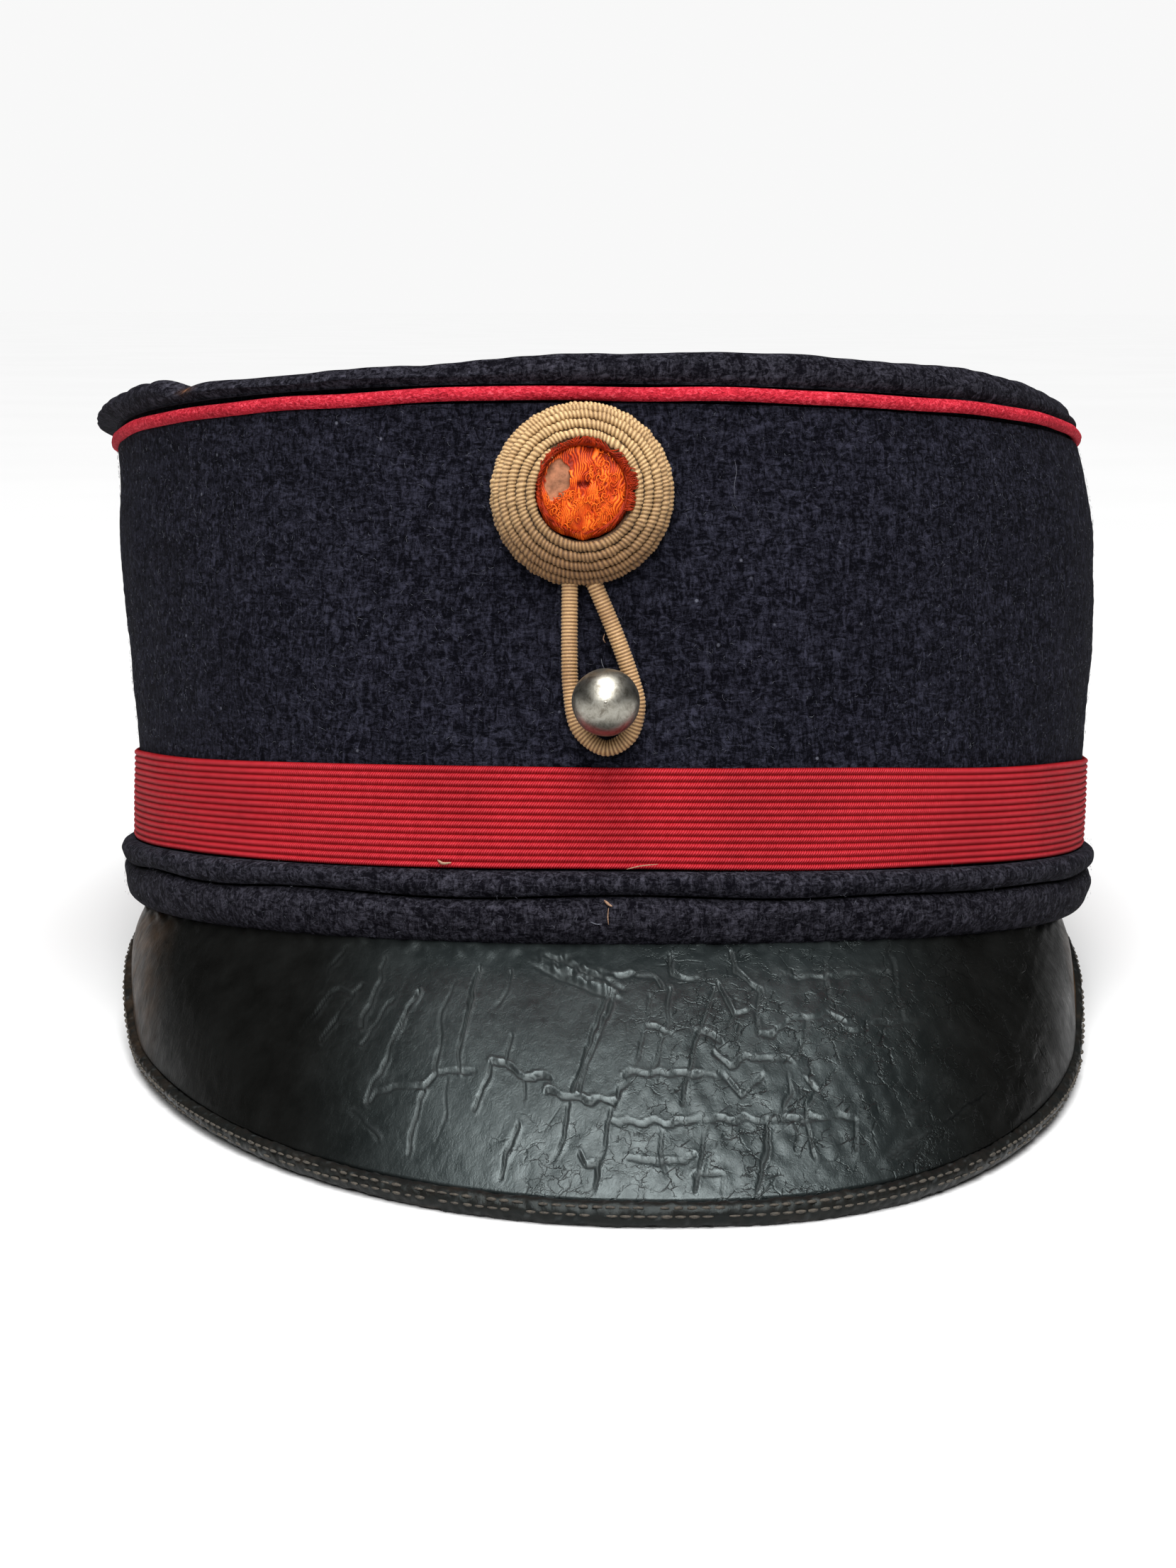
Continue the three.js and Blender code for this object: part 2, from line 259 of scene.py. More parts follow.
def waves(seed, count, wavelength, *coordinates):
    """Smooth random unevenness of about -1 to 1: sine waves near the wavelength, in any direction."""
    rng = np.random.default_rng(seed)
    total = 0
    for _ in range(count):
        direction = rng.normal(size=len(coordinates))
        direction /= np.linalg.norm(direction)
        reach = sum(d * c for d, c in zip(direction, coordinates))
        turns = reach / (wavelength * rng.uniform(0.7, 1.5))
        total = total + np.sin(2 * np.pi * turns + rng.uniform(0, 6.28))
    return total / math.sqrt(count)


def smoothstep(value, low, high):
    t = np.clip((value - low) / (high - low), 0, 1)
    return t * t * (3 - 2 * t)


def hump(value, centre, width, power=2):
    """1 at the centre, falling smoothly to 0 on both sides."""
    return np.exp(-(((value - centre) / width) ** power))


def round_angles(count):
    """Evenly spaced angles of a full turn."""
    return np.linspace(0, 2 * np.pi, count, endpoint=False)


# ---- the cap's oval ----


def level(column, z):
    """A smoothed column of the wall's table at heights z."""
    steps = (-4, -2, 0, 2, 4)
    return sum(np.interp(z + step, WALL_LEVELS["z"], WALL_LEVELS[column]) for step in steps) / len(steps)


def oval(phi, z, out):
    """Points at angles phi from the front, at heights z, `out` millimetres outside the wall."""
    phi, z, out = np.broadcast_arrays(np.asarray(phi, float), np.asarray(z, float), np.asarray(out, float))
    half_width = level("half_width", z)
    across = np.sign(np.sin(phi)) * np.abs(np.sin(phi)) ** (2 / ROUNDNESS)
    along = -np.sign(np.cos(phi)) * np.abs(np.cos(phi)) ** (2 / ROUNDNESS)
    nx = np.sign(across) * np.abs(across) ** (ROUNDNESS - 1) / half_width
    ny = np.sign(along) * np.abs(along) ** (ROUNDNESS - 1) / HALF_LENGTH
    size = np.hypot(nx, ny)
    x = level("centre", z) + across * half_width + nx / size * out
    y = along * HALF_LENGTH + ny / size * out
    return np.stack([x, y, z], axis=-1)


def front_angle(x, z):
    """The angle of the front wall's point straight behind x, z."""
    across = (x - level("centre", z)) / level("half_width", z)
    return np.arcsin(np.sign(across) * np.abs(across) ** (ROUNDNESS / 2))


def angles(count):
    """Angles round the cap, evenly spaced along it, from the back round by the wearer's right."""
    fine = np.linspace(-np.pi, np.pi, 8001)
    length = run_length(oval(fine, 40, 0))
    stations = np.arange(count) * length[-1] / count
    return np.interp(stations, length, fine), stations


def band(name, profile, count, material, replaces, bend, attributes=None, drop=0.0):
    """A closed ring round the cap. The profile is rows of out, z. bend(phi, arc, out, z) may move them.

    attributes(arc, z) gives what the material needs. The ring runs lower by the drop on the wearer's left.
    """
    phi, arc = angles(count)
    out, z = np.asarray(profile, float).T
    out = np.broadcast_to(out, (count, len(out)))
    z = np.broadcast_to(z, out.shape)
    out, z = bend(phi[:, None], arc[:, None], out, z)
    points = oval(phi[:, None], z, out)
    points[..., 2] -= drop * smoothstep(np.sin(phi[:, None]), 0, 1)
    extra = attributes(arc[:, None], z) if attributes else {}
    faces = grid_faces(*out.shape, wrap_rows=True, wrap_columns=True)
    add_mesh(name, points.reshape(-1, 3), faces, material, replaces, extra)


def refined(corners, spacing):
    """A closed profile through the corners, with points at most a spacing apart."""
    corners = np.asarray(corners, float)
    rows = []
    for a, b in zip(corners, np.roll(corners, -1, axis=0)):
        steps = max(1, math.ceil(np.linalg.norm(b - a) / spacing))
        rows.extend(a + (b - a) * k / steps for k in range(steps))
    return np.array(rows)


def rounded(corners, rounds=2):
    """A closed profile with its corners cut off again and again, which rounds them."""
    points = np.asarray(corners, float)
    for _ in range(rounds):
        after = np.roll(points, -1, axis=0)
        cuts = [0.75 * points + 0.25 * after, 0.25 * points + 0.75 * after]
        points = np.stack(cuts, axis=1).reshape(-1, 2)
    return points


# ---- materials ----


class Look:
    """A material's node tree, written a node at a time."""

    def __init__(self, name):
        self.material = bpy.data.materials.new(name)
        self.material.use_nodes = True
        self.tree = self.material.node_tree
        self.shader = self.tree.nodes["Principled BSDF"]
        self.place = self.add("ShaderNodeTexCoord").outputs["Object"]

    def add(self, kind, inputs=None, **settings):
        node = self.tree.nodes.new(kind)
        for key, value in settings.items():
            setattr(node, key, value)
        for key, value in (inputs or {}).items():
            self.set(node, key, value)
        return node

    def set(self, node, key, value):
        if isinstance(value, bpy.types.NodeSocket):
            self.tree.links.new(value, node.inputs[key])
        else:
            node.inputs[key].default_value = value

    def surface(self, **values):
        for key, value in values.items():
            self.set(self.shader, key.replace("_", " "), value)

    def attribute(self, name):
        return self.add("ShaderNodeAttribute", attribute_name=name).outputs["Fac"]

    def stretched(self, scale, turn=(0, 0, 0)):
        node = self.add("ShaderNodeMapping", {"Vector": self.place})
        node.inputs["Scale"].default_value = scale
        node.inputs["Rotation"].default_value = turn
        return node.outputs["Vector"]

    def noise(self, scale, detail=4, roughness=0.6, vector=None, distortion=0.0):
        inputs = {"Vector": vector or self.place, "Scale": scale, "Detail": detail}
        inputs.update({"Roughness": roughness, "Distortion": distortion})
        return self.add("ShaderNodeTexNoise", inputs).outputs["Fac"]

    def ramp(self, value, *stops):
        node = self.add("ShaderNodeValToRGB", {"Fac": value})
        ends = node.color_ramp.elements
        while len(ends) < len(stops):
            ends.new(0.5)
        for end, (position, colour) in zip(ends, stops):
            end.position = position
            end.color = (*colour, 1) if isinstance(colour, tuple) else (colour, colour, colour, 1)
        return node.outputs["Color"]

    def math(self, operation, a, b=0.0, clamp=False):
        node = self.add("ShaderNodeMath", {0: a, 1: b}, operation=operation)
        node.use_clamp = clamp
        return node.outputs[0]

    def weighted(self, *terms):
        """The sum of values, each times its weight."""
        total = None
        for value, weight in terms:
            part = self.math("MULTIPLY", value, weight)
            total = part if total is None else self.math("ADD", total, part)
        return total

    def specks(self, scale, chosen, near):
        """Scattered round specks. The ramps' ends choose the cells and set the specks' size in them."""
        cells = self.add("ShaderNodeTexVoronoi", {"Vector": self.place, "Scale": scale}, feature="F1")
        kept = self.ramp(cells.outputs["Color"], (chosen[0], 0.0), (chosen[1], 1.0))
        inside = self.ramp(cells.outputs["Distance"], (near[0], 1.0), (near[1], 0.0))
        return self.math("MULTIPLY", kept, inside)

    def mix(self, share, a, b, blend="MIX"):
        node = self.add("ShaderNodeMix", data_type="RGBA", blend_type=blend)
        self.set(node, 0, share)
        for socket, value in ((6, a), (7, b)):
            self.set(node, socket, (*value, 1) if isinstance(value, tuple) else value)
        return node.outputs[2]

    def bump(self, height, distance, strength=1.0, under=None):
        inputs = {"Height": height, "Distance": distance, "Strength": strength}
        if under is not None:
            inputs["Normal"] = under
        return self.add("ShaderNodeBump", inputs).outputs["Normal"]


def wool_look(name, dark, light):
    look = Look(name)
    fibres_a = look.noise(1300, 4, 0.75, look.stretched((1, 1, 0.4), (0.3, 0.2, 0.5)), 1.2)
    fibres_b = look.noise(1300, 4, 0.75, look.stretched((0.4, 0.5, 1), (-0.4, 0.5, 0.1)), 1.2)
    clumps = look.noise(420, 3, 0.65)
    clouds = look.noise(70, 3, 0.6)
    fibre = look.math("MULTIPLY", look.math("ADD", fibres_a, fibres_b), 0.5)
    pile = look.weighted((fibre, 0.90), (clumps, 0.07), (clouds, 0.03))
    middle = tuple(0.35 * b + 0.65 * a for a, b in zip(dark, light))
    colour = look.ramp(pile, (0.45, dark), (0.52, middle), (0.60, light))
    speck = look.math("MULTIPLY", look.specks(620.0, (0.86, 0.92), (0.08, 0.20)), 0.5)
    colour = look.mix(speck, colour, (0.16, 0.165, 0.205))
    bare = look.ramp(clumps, (0.4, (0.05, 0.022, 0.012)), (0.6, (0.24, 0.11, 0.06)))
    colour = look.mix(look.attribute("worn_and_painted_reflection"), colour, bare)
    rough = look.bump(pile, 0.0007, 1.0)
    look.surface(Base_Color=colour, Roughness=0.95, Normal=look.bump(clouds, 0.0008, 0.35, rough))
    look.surface(Specular_IOR_Level=0.05)
    return look.material


def piping_look():
    look = Look("crimson_piping")
    weave = look.noise(1700, 2, 0.6, look.stretched((1, 1, 1.8), (0, 0.7, 0)), 0.8)
    colour = look.ramp(
        weave, (0.35, (0.24, 0.007, 0.014)), (0.55, (0.45, 0.020, 0.036)), (0.72, (0.64, 0.070, 0.095))
    )
    soil_and_painted_shade = look.ramp(look.noise(60, 3), (0.35, 0.55), (0.6, 1.0))
    look.surface(Base_Color=look.mix(0.5, colour, soil_and_painted_shade, "MULTIPLY"), Roughness=0.8)
    look.surface(Normal=look.bump(weave, 0.0004, 0.8), Specular_IOR_Level=0.05)
    return look.material


def ribbon_look():
    look = Look("ribbed_ribbon")
    rib = look.attribute("rib")
    arc = look.attribute("arc")
    across = look.attribute("across")
    thread = look.add("ShaderNodeCombineXYZ", {"X": arc, "Y": across}).outputs[0]
    twist = look.add("ShaderNodeMapping", {"Vector": thread})
    twist.inputs["Rotation"].default_value = (0, 0, 0.5)
    wraps = look.add(
        "ShaderNodeTexWave",
        {"Vector": twist.outputs[0], "Scale": 0.95, "Distortion": 2.0, "Detail": 1.5, "Detail Scale": 1.2},
    ).outputs["Fac"]
    slubs = look.noise(0.9, 4, 0.7, thread)
    # Lighter on the ribs' crowns and darker in the grooves between them: painted highlight and painted
    # shade, with the wraps and slubs as the weave's own texture.
    shade = look.weighted((rib, 0.52), (wraps, 0.34), (look.math("SUBTRACT", slubs, 0.5), 0.35))
    colour = look.ramp(
        shade, (0.10, (0.125, 0.0016, 0.0026)), (0.50, (0.27, 0.006, 0.010)), (0.95, (0.56, 0.045, 0.062))
    )
    soil_and_painted_shade = look.ramp(look.noise(45, 4, 0.6), (0.30, 0.72), (0.55, 1.0))
    look.surface(Base_Color=look.mix(0.7, colour, soil_and_painted_shade, "MULTIPLY"), Roughness=0.62)
    look.surface(Normal=look.bump(look.math("ADD", wraps, slubs), 0.00012, 0.8), Specular_IOR_Level=0.05)
    return look.material


def gimp_look(name, dark, middle, light):
    look = Look(name)
    ridge = look.attribute("ridge")
    hairs = look.noise(3200, 3, 0.7, look.stretched((1, 1, 0.5), (0.2, 0.4, 0.3)), 1.0)
    grime = look.noise(160, 4, 0.6)
    # Darker in the gaps between the wraps and lighter on their crowns: painted shade and painted highlight.
    shade = look.weighted((ridge, 0.62), (hairs, 0.38))
    colour = look.ramp(shade, (0.15, dark), (0.5, middle), (0.85, light))
    stain = look.ramp(grime, (0.30, (0.55, 0.47, 0.40)), (0.62, (1.0, 1.0, 1.0)))
    colour = look.mix(0.75, colour, stain, "MULTIPLY")
    # Multiplies the colour darker towards the cockade's lower part: painted shade on the dome's downward
    # faces.
    colour = look.mix(look.attribute("soil_and_painted_shade"), colour, (0.31, 0.22, 0.145), "MULTIPLY")
    look.surface(Base_Color=colour, Roughness=0.55)
    look.surface(Normal=look.bump(hairs, 0.0002, 0.7), Specular_IOR_Level=0.4)
    look.surface(Sheen_Weight=0.15, Sheen_Roughness=0.35, Sheen_Tint=(1, 0.9, 0.75, 1))
    return look.material


def silk_look():
    look = Look("orange_silk")
    strand = look.attribute("strand")
    worn_and_painted_reflection = look.attribute("worn_and_painted_reflection")
    shine = look.noise(1600, 3, 0.6)
    shade = look.weighted((strand, 0.75), (shine, 0.35))
    colour = look.ramp(
        shade, (0.2, (0.12, 0.005, 0.001)), (0.5, (0.44, 0.036, 0.003)), (0.9, (0.78, 0.15, 0.012))
    )
    bare = look.ramp(look.noise(700, 4), (0.35, (0.15, 0.065, 0.035)), (0.65, (0.38, 0.16, 0.085)))
    look.surface(Base_Color=look.mix(worn_and_painted_reflection, colour, bare))
    look.surface(Roughness=look.ramp(worn_and_painted_reflection, (0.0, 0.45), (1.0, 0.7)))
    look.surface(Normal=look.bump(shine, 0.0002, 0.5), Specular_IOR_Level=0.12, Anisotropic=0.4)
    look.surface(Sheen_Weight=0.03, Sheen_Tint=(1, 0.4, 0.1, 1))
    return look.material


def leather_look(name):
    look = Look(name)
    crack = look.attribute("crack")
    lip = look.attribute("lip")
    worn_and_painted_reflection = look.attribute("worn_and_painted_reflection")
    painted_sheen = look.attribute("painted_sheen")
    crazed = look.attribute("crazed")
    mottled = look.noise(140, 5, 0.65)
    fine = look.noise(2600, 4, 0.7)
    # This mask is high in the peak's middle and low at its sides and along the hem. It paints a bluish-grey
    # reflection into the colour there, with near black as painted shade at the sides, and it raises the
    # lacquer's shine and coat in the middle.
    lacquer = look.math("ADD", look.math("MULTIPLY", painted_sheen, 0.45), 0.03)
    black = look.ramp(mottled, (0.3, (0.0022, 0.0022, 0.0020)), (0.7, (0.0048, 0.0049, 0.0046)))
    colour = look.mix(painted_sheen, black, (0.0085, 0.0112, 0.0115))
    # Brown at the peak's two side corners and in patches on the binding: worn leather, and at the corners
    # also a painted reflection of the surroundings.
    brown = look.ramp(look.noise(260, 4, 0.7), (0.35, (0.010, 0.0065, 0.004)), (0.7, (0.085, 0.050, 0.028)))
    colour = look.mix(worn_and_painted_reflection, colour, brown)
    colour = look.mix(look.math("MULTIPLY", crack, 0.9, True), colour, (0.0015, 0.0015, 0.0015))
    # Lighter along the cracks' raised lips and on the torn flap's swelling: painted highlight.
    colour = look.mix(look.math("MULTIPLY", lip, 0.34, True), colour, (0.060, 0.067, 0.068))
    dust = look.math("MULTIPLY", look.specks(260.0, (0.93, 0.95), (0.04, 0.08)), 0.6)
    colour = look.mix(dust, colour, (0.25, 0.24, 0.22))
    scuffs = look.noise(900, 5, 0.75, look.stretched((1, 0.7, 0.35), (0, 0.35, 0)), 0.6)
    rough = look.ramp(look.weighted((mottled, 0.6), (scuffs, 0.4)), (0.35, 0.24), (0.65, 0.50))
    rough = look.math("ADD", look.math("MULTIPLY", crack, 0.4), rough, True)
    rough = look.math("SUBTRACT", rough, look.math("MULTIPLY", lip, 0.12), True)
    nets = []
    for scale, turn in ((210.0, 0.3), (480.0, -0.4)):
        straight = look.stretched((1, 1, 0.8), (0, turn, 0))
        bent = look.mix(0.0025, straight, look.noise(500, 3))
        net = look.add("ShaderNodeTexVoronoi", {"Vector": bent, "Scale": scale}, feature="DISTANCE_TO_EDGE")
        line = look.ramp(net.outputs["Distance"], (0.0, 1.0), (0.05, 0.0))
        patches = look.ramp(look.noise(110 + scale / 4, 3), (0.48, 0.0), (0.62, 1.0))
        nets.append(look.math("MULTIPLY", line, patches))
    fine_cracks = look.math("MULTIPLY", look.math("ADD", nets[0], nets[1], True), crazed)
    colour = look.mix(look.math("MULTIPLY", fine_cracks, 0.5), colour, (0.0015, 0.0015, 0.0015))
    normal = look.bump(fine_cracks, -0.00025, 0.6)
    normal = look.bump(fine, 0.00006, 0.5, normal)
    normal = look.bump(scuffs, 0.00022, 0.45, normal)
    look.surface(Base_Color=colour, Roughness=rough, Normal=normal, Specular_IOR_Level=lacquer)
    look.surface(Specular_Tint=(0.86, 1.0, 1.0, 1), Coat_Roughness=0.2)
    look.surface(Coat_Weight=look.math("MULTIPLY", painted_sheen, 0.06))
    return look.material


def metal_look():
    look = Look("silvered_ball")
    haze = look.noise(420, 5, 0.7)
    stain = look.noise(900, 4, 0.7, None, 0.6)
    colour = look.ramp(
        stain, (0.32, (0.17, 0.155, 0.125)), (0.5, (0.33, 0.315, 0.27)), (0.8, (0.46, 0.45, 0.40))
    )
    look.surface(Base_Color=colour, Metallic=1.0, Roughness=look.ramp(haze, (0.3, 0.34), (0.7, 0.46)))
    look.surface(Normal=look.bump(stain, 0.00006, 0.6))
    return look.material


def thread_look(name, dark, light):
    look = Look(name)
    fuzz = look.noise(3000, 3, 0.7)
    look.surface(Base_Color=look.ramp(fuzz, (0.3, dark), (0.7, light)), Roughness=0.8)
    look.surface(Normal=look.bump(fuzz, 0.0001, 0.8))
    return look.material


NAVY = wool_look("navy_wool", (0.0010, 0.0010, 0.0024), (0.0240, 0.0242, 0.0375))
# A brighter copy of the navy wool for the rim, welt and hem: painted light, for the rolls' crowns that face
# the overhead lamp.
NAVY_PAINTED_LIT = wool_look("navy_wool_painted_lit", (0.0020, 0.0018, 0.0034), (0.0400, 0.0385, 0.0510))
CRIMSON = piping_look()
RIBBON = ribbon_look()
GIMP = gimp_look("tan_gimp", (0.125, 0.068, 0.026), (0.36, 0.215, 0.088), (0.68, 0.475, 0.240))
CORD = gimp_look("loop_gimp", (0.09, 0.042, 0.014), (0.30, 0.165, 0.070), (0.52, 0.33, 0.155))
SILK = silk_look()
LEATHER_LOOK = leather_look("lacquered_leather")
METAL = metal_look()
STITCH = thread_look("waxed_thread", (0.010, 0.009, 0.007), (0.066, 0.054, 0.040))
LINT = thread_look("lint", (0.020, 0.022, 0.03), (0.11, 0.115, 0.14))
TAN_BITS = thread_look("tan_bits", (0.14, 0.075, 0.04), (0.36, 0.215, 0.135))


# ---- cloth, piping and ribbon ----


def seam_groove(phi, z, width=0.45):
    """1 on the centre-front seam, falling to 0 beside it."""
    x = oval(phi, z, 0)[..., 0]
    front = np.cos(phi) > 0
    return hump(x, SEAM_X, width) * front


def crown_wall():
    bare_foot = RIBBON_TOP + 0.6
    under_ribbon = [(0.0, z) for z in np.linspace(WALL_FOOT, RIBBON_TOP, 8)]
    outer = under_ribbon + [(0.0, z) for z in np.linspace(bare_foot, WALL_TOP, 80)]
    lip = [(-0.5, WALL_TOP), (LIP - WALL, WALL_TOP), (LIP - WALL, LIP_TOP), (-WALL, LIP_TOP)]
    inner = [(-WALL, z) for z in np.linspace(78, WALL_FOOT, 12)]
    profile = outer + lip + inner
    outside = np.array([out == 0 and z > bare_foot for out, z in profile])

    def bend(phi, arc, out, z):
        sag = 0.35 * waves(11, 6, 60, arc, 1.5 * z) + 0.10 * waves(12, 8, 14, arc, z)
        nap = 0.05 * waves(13, 10, 2.2, arc, z)
        seam = 0.22 * seam_groove(phi, z)
        fade = smoothstep(z, bare_foot, 34) * (1 - smoothstep(z, 70, 76))
        return out + outside * (sag * fade + nap - seam), z

    band("wall_cloth", profile, WALL_COLUMNS, NAVY, ["crown_wall"], bend)


def rim_bend(phi, arc, out, z):
    """The rim's uneven roll, with a pinch at the worn spot on the wearer's right."""
    share = smoothstep(z, RIM_FOOT + 0.6, TOP_FACE) * smoothstep(out, RIM_INSIDE, -2.4)
    angle = np.degrees(phi)
    kernel = np.hanning(15)
    kernel /= kernel.sum()

    def smooth(column):
        values = np.interp(angle, RIM_SHAPE["angle"], RIM_SHAPE[column])
        return np.convolve(np.pad(values.ravel(), 7, "wrap"), kernel, "valid")[:, None]

    lumps = 0.22 * waves(21, 6, 22, arc, 4 * z) + 0.10 * waves(22, 8, 6, arc, 2 * z)
    pinch = (hump(angle, -48, 2.0) - 0.5 * hump(angle, -53, 2.2)) * share
    out = out + share * (smooth("out") + lumps) - 0.8 * pinch
    return out, z + share * (smooth("rise") + 0.5 * lumps) - 0.6 * pinch


def crown_top():
    """The rolled rim and the sunk top: rings that shrink to the middle."""
    underside = LIP_TOP + GAP
    inside = LIP - WALL + GAP
    skirt = [(RIM_INSIDE, underside), (inside, underside), (inside, RIM_FOOT), (0.2, RIM_FOOT)]
    turn = np.linspace(-1.15, 3.0, 26)
    roll_out = RIM_ROLL["out"] + RIM_ROLL["radius"] * np.cos(turn)
    roll_z = RIM_ROLL["z"] + RIM_ROLL["radius"] * np.sin(turn)
    flat = [(RIM_INSIDE, TOP_FACE), (-6, TOP_FACE)]
    profile = np.array([*skirt, *zip(roll_out, roll_z), *flat])
    count = TOP_COLUMNS
    phi, arc = angles(count)
    out = np.broadcast_to(profile[:, 0], (count, len(profile)))
    z = np.broadcast_to(profile[:, 1], out.shape)
    out, z = rim_bend(phi[:, None], arc[:, None], out, z)
    rings = oval(phi[:, None], z, out)

    shares = np.linspace(0.97, 0.06, 22)
    middle = rings[:, -1:].mean(axis=0, keepdims=True)
    inner = middle + (rings[:, -1:] - middle) * shares[None, :, None]
    sag = np.sin(np.pi * np.sqrt(shares))[None, :]
    inner[..., 2] += 0.25 * waves(31, 7, 45, inner[..., 0], inner[..., 1]) * sag
    below = middle * [1, 1, 0] + [0, 0, underside]
    under = below + (rings[:, :1] - below) * np.array([0.05, 0.35, 0.7])[None, :, None]
    grid = np.concatenate([under, rings, inner], axis=1)

    columns = grid.shape[1]
    points = grid.reshape(-1, 3)
    total = len(points)
    hubs = [grid[:, 0].mean(axis=0), grid[:, -1].mean(axis=0)]
    first = np.arange(count) * columns
    second = np.roll(first, -1)
    last = columns - 1
    lower_cap = np.stack([second, first, np.full(count, total)], axis=1)
    upper_cap = np.stack([first + last, second + last, np.full(count, total + 1)], axis=1)
    faces = [*grid_faces(count, columns, wrap_rows=True), *lower_cap, *upper_cap]

    angle = np.degrees(np.repeat(phi, columns))
    worn_and_painted_reflection = hump(angle, WORN_SPOT["angle"], 1.1) * hump(points[:, 2], WORN_SPOT["z"], 0.55)
    shares = {"worn_and_painted_reflection": np.append(worn_and_painted_reflection, [0, 0])}
    points = np.vstack([points, hubs])
    add_mesh("top_cloth", points, faces, NAVY_PAINTED_LIT, ["crown_top"], shares)


def piping():
    centre = 0.1
    turn = round_angles(18)
    round_out = centre + PIPING_RADIUS * np.cos(turn)
    round_z = PIPING_HEIGHT + PIPING_RADIUS * np.sin(turn)
    profile = np.stack([round_out, round_z], axis=1)

    def bend(phi, arc, out, z):
        angle = np.degrees(phi)
        dip = 0.35 * smoothstep(angle, 25, 50) - 0.5 * smoothstep(-angle, 3, 40)
        dip = dip - 0.6 * hump(angle, -76, 12)
        size = 1 + 0.07 * waves(41, 6, 9, arc) + 0.03 * waves(42, 6, 1.6, arc, z)
        return centre + (out - centre) * size, z + 0.12 * waves(43, 5, 30, arc) + dip

    band("piping_cord", profile, PIPING_COLUMNS, CRIMSON, ["top_piping"], bend)


def ribbon():
    """Fifteen woven ribs between two thin selvedges."""
    ribs, steps = 15, 5
    height = RIBBON_TOP - RIBBON_FOOT
    share = np.linspace(0, 1, ribs * steps + 1)
    rib = np.abs(np.sin(np.pi * ribs * share)) ** 0.7
    outer = np.stack([GAP + 0.25 + 0.35 * rib, RIBBON_FOOT + height * share], axis=1)
    profile = np.vstack([outer, [(GAP, RIBBON_TOP), (GAP, RIBBON_FOOT)]])
    rib = np.append(rib, [0, 0])

    def bend(phi, arc, out, z):
        middle = (RIBBON_FOOT + RIBBON_TOP) / 2
        edge = 0.16 * waves(51, 5, 50, arc) * np.sign(z - middle) + 0.12 * waves(52, 5, 70, arc)
        ripple = 0.08 * waves(53, 6, 18, arc, z) + 0.16 * seam_groove(phi, z, 0.7)
        return out + ripple * (out > GAP + 0.1), z + edge * np.abs(z - middle) / middle

    def attributes(arc, z):
        return {"rib": np.broadcast_to(rib, z.shape), "arc": np.broadcast_to(arc, z.shape), "across": z}

    columns = RIBBON_COLUMNS
    band("ribbed_ribbon", profile, columns, RIBBON, ["ribbon_band"], bend, attributes, SIDE_DROP)


def rolls():
    """The narrow welt and the taller hem, two rolls of cloth with a crease between them."""

    def bend(phi, arc, out, z):
        lumps = 0.14 * waves(61, 6, 24, arc, 3 * z) + 0.07 * waves(62, 8, 5, arc, z)
        crease = 0.30 * waves(63, 6, 40, arc) * hump(z, 6.9, 2.2)
        nap = 0.03 * waves(64, 10, 1.6, arc, z)
        proud = smoothstep(out, 0.3, 1.5)
        return out + proud * (lumps + nap - 0.35 * seam_groove(phi, z, 0.3)), z + crease

    welt = rounded([(GAP, 7.2), (1.6, 6.95), (2.7, 7.9), (2.9, 9.2), (2.4, 10.2), (1.2, 10.6), (GAP, 10.6)])
    welt = refined(welt, 0.45)
    band("welt_roll", welt, WALL_COLUMNS, NAVY_PAINTED_LIT, ["upper_welt"], bend, drop=SIDE_DROP)
    hem = rounded(
        [(-2.2, 0.4), (-0.9, 0), (0.3, 0.1), (1.3, 1.1), (2.1, 3.2), (2.35, 5.3), (1.5, 6.7), (GAP, 6.75)]
        + [(GAP, 1.65), (-2.2, 1.65)]
    )
    hem = refined(hem, 0.5)
    band("hem_roll", hem, WALL_COLUMNS, NAVY_PAINTED_LIT, ["lower_hem"], bend, drop=SIDE_DROP)


# ---- the peak ----


def edge_points(s):
    s = np.asarray(s, float)
    left = s < 0
    half = np.where(left, EDGE_RIGHT["half_width"], EDGE_LEFT["half_width"])
    half = half * (1 - CORNER_LEAN * smoothstep(np.abs(s), 0.84, 1))
    power = 2 / np.where(left, EDGE_RIGHT["roundness"], EDGE_LEFT["roundness"])
    turn = np.pi / 2 * s
    x = EDGE_CENTRE[0] + half * np.sign(s) * np.abs(np.sin(turn)) ** power
    y = EDGE_CENTRE[1] - (TIP_REACH + EDGE_CENTRE[1]) * np.cos(turn)
    lying = (y - HALF_LENGTH) * REST_SLOPE + BINDING["height"]
    rise = smoothstep(np.abs(s), RISE_FROM, 1)
    z = lying + (-PEAK_CORNER_DROP - lying) * rise
    return np.stack([x, y, z], axis=-1)


def sewn_points(s):
    s = np.asarray(s, float)
    out = -1 - 1.4 * smoothstep(np.abs(s), 0.6, 1) - 1.2 * smoothstep(s, 0.6, 1)
    points = oval(PEAK_SWEEP * s, 0.0, out)
    points[..., 2] = SEWN_TUCK - SIDE_DROP * smoothstep(s, 0, 1)
    return points


def peak_axes(s):
    """The directions down the leather and out of its upper face."""
    step = 0.01
    down = edge_points(s) - sewn_points(s)
    down /= np.linalg.norm(down, axis=-1, keepdims=True)
    along = edge_points(np.minimum(s + step, 1)) - edge_points(np.maximum(s - step, -1))
    out = -np.cross(along, down)
    return down, out / np.linalg.norm(out, axis=-1, keepdims=True)


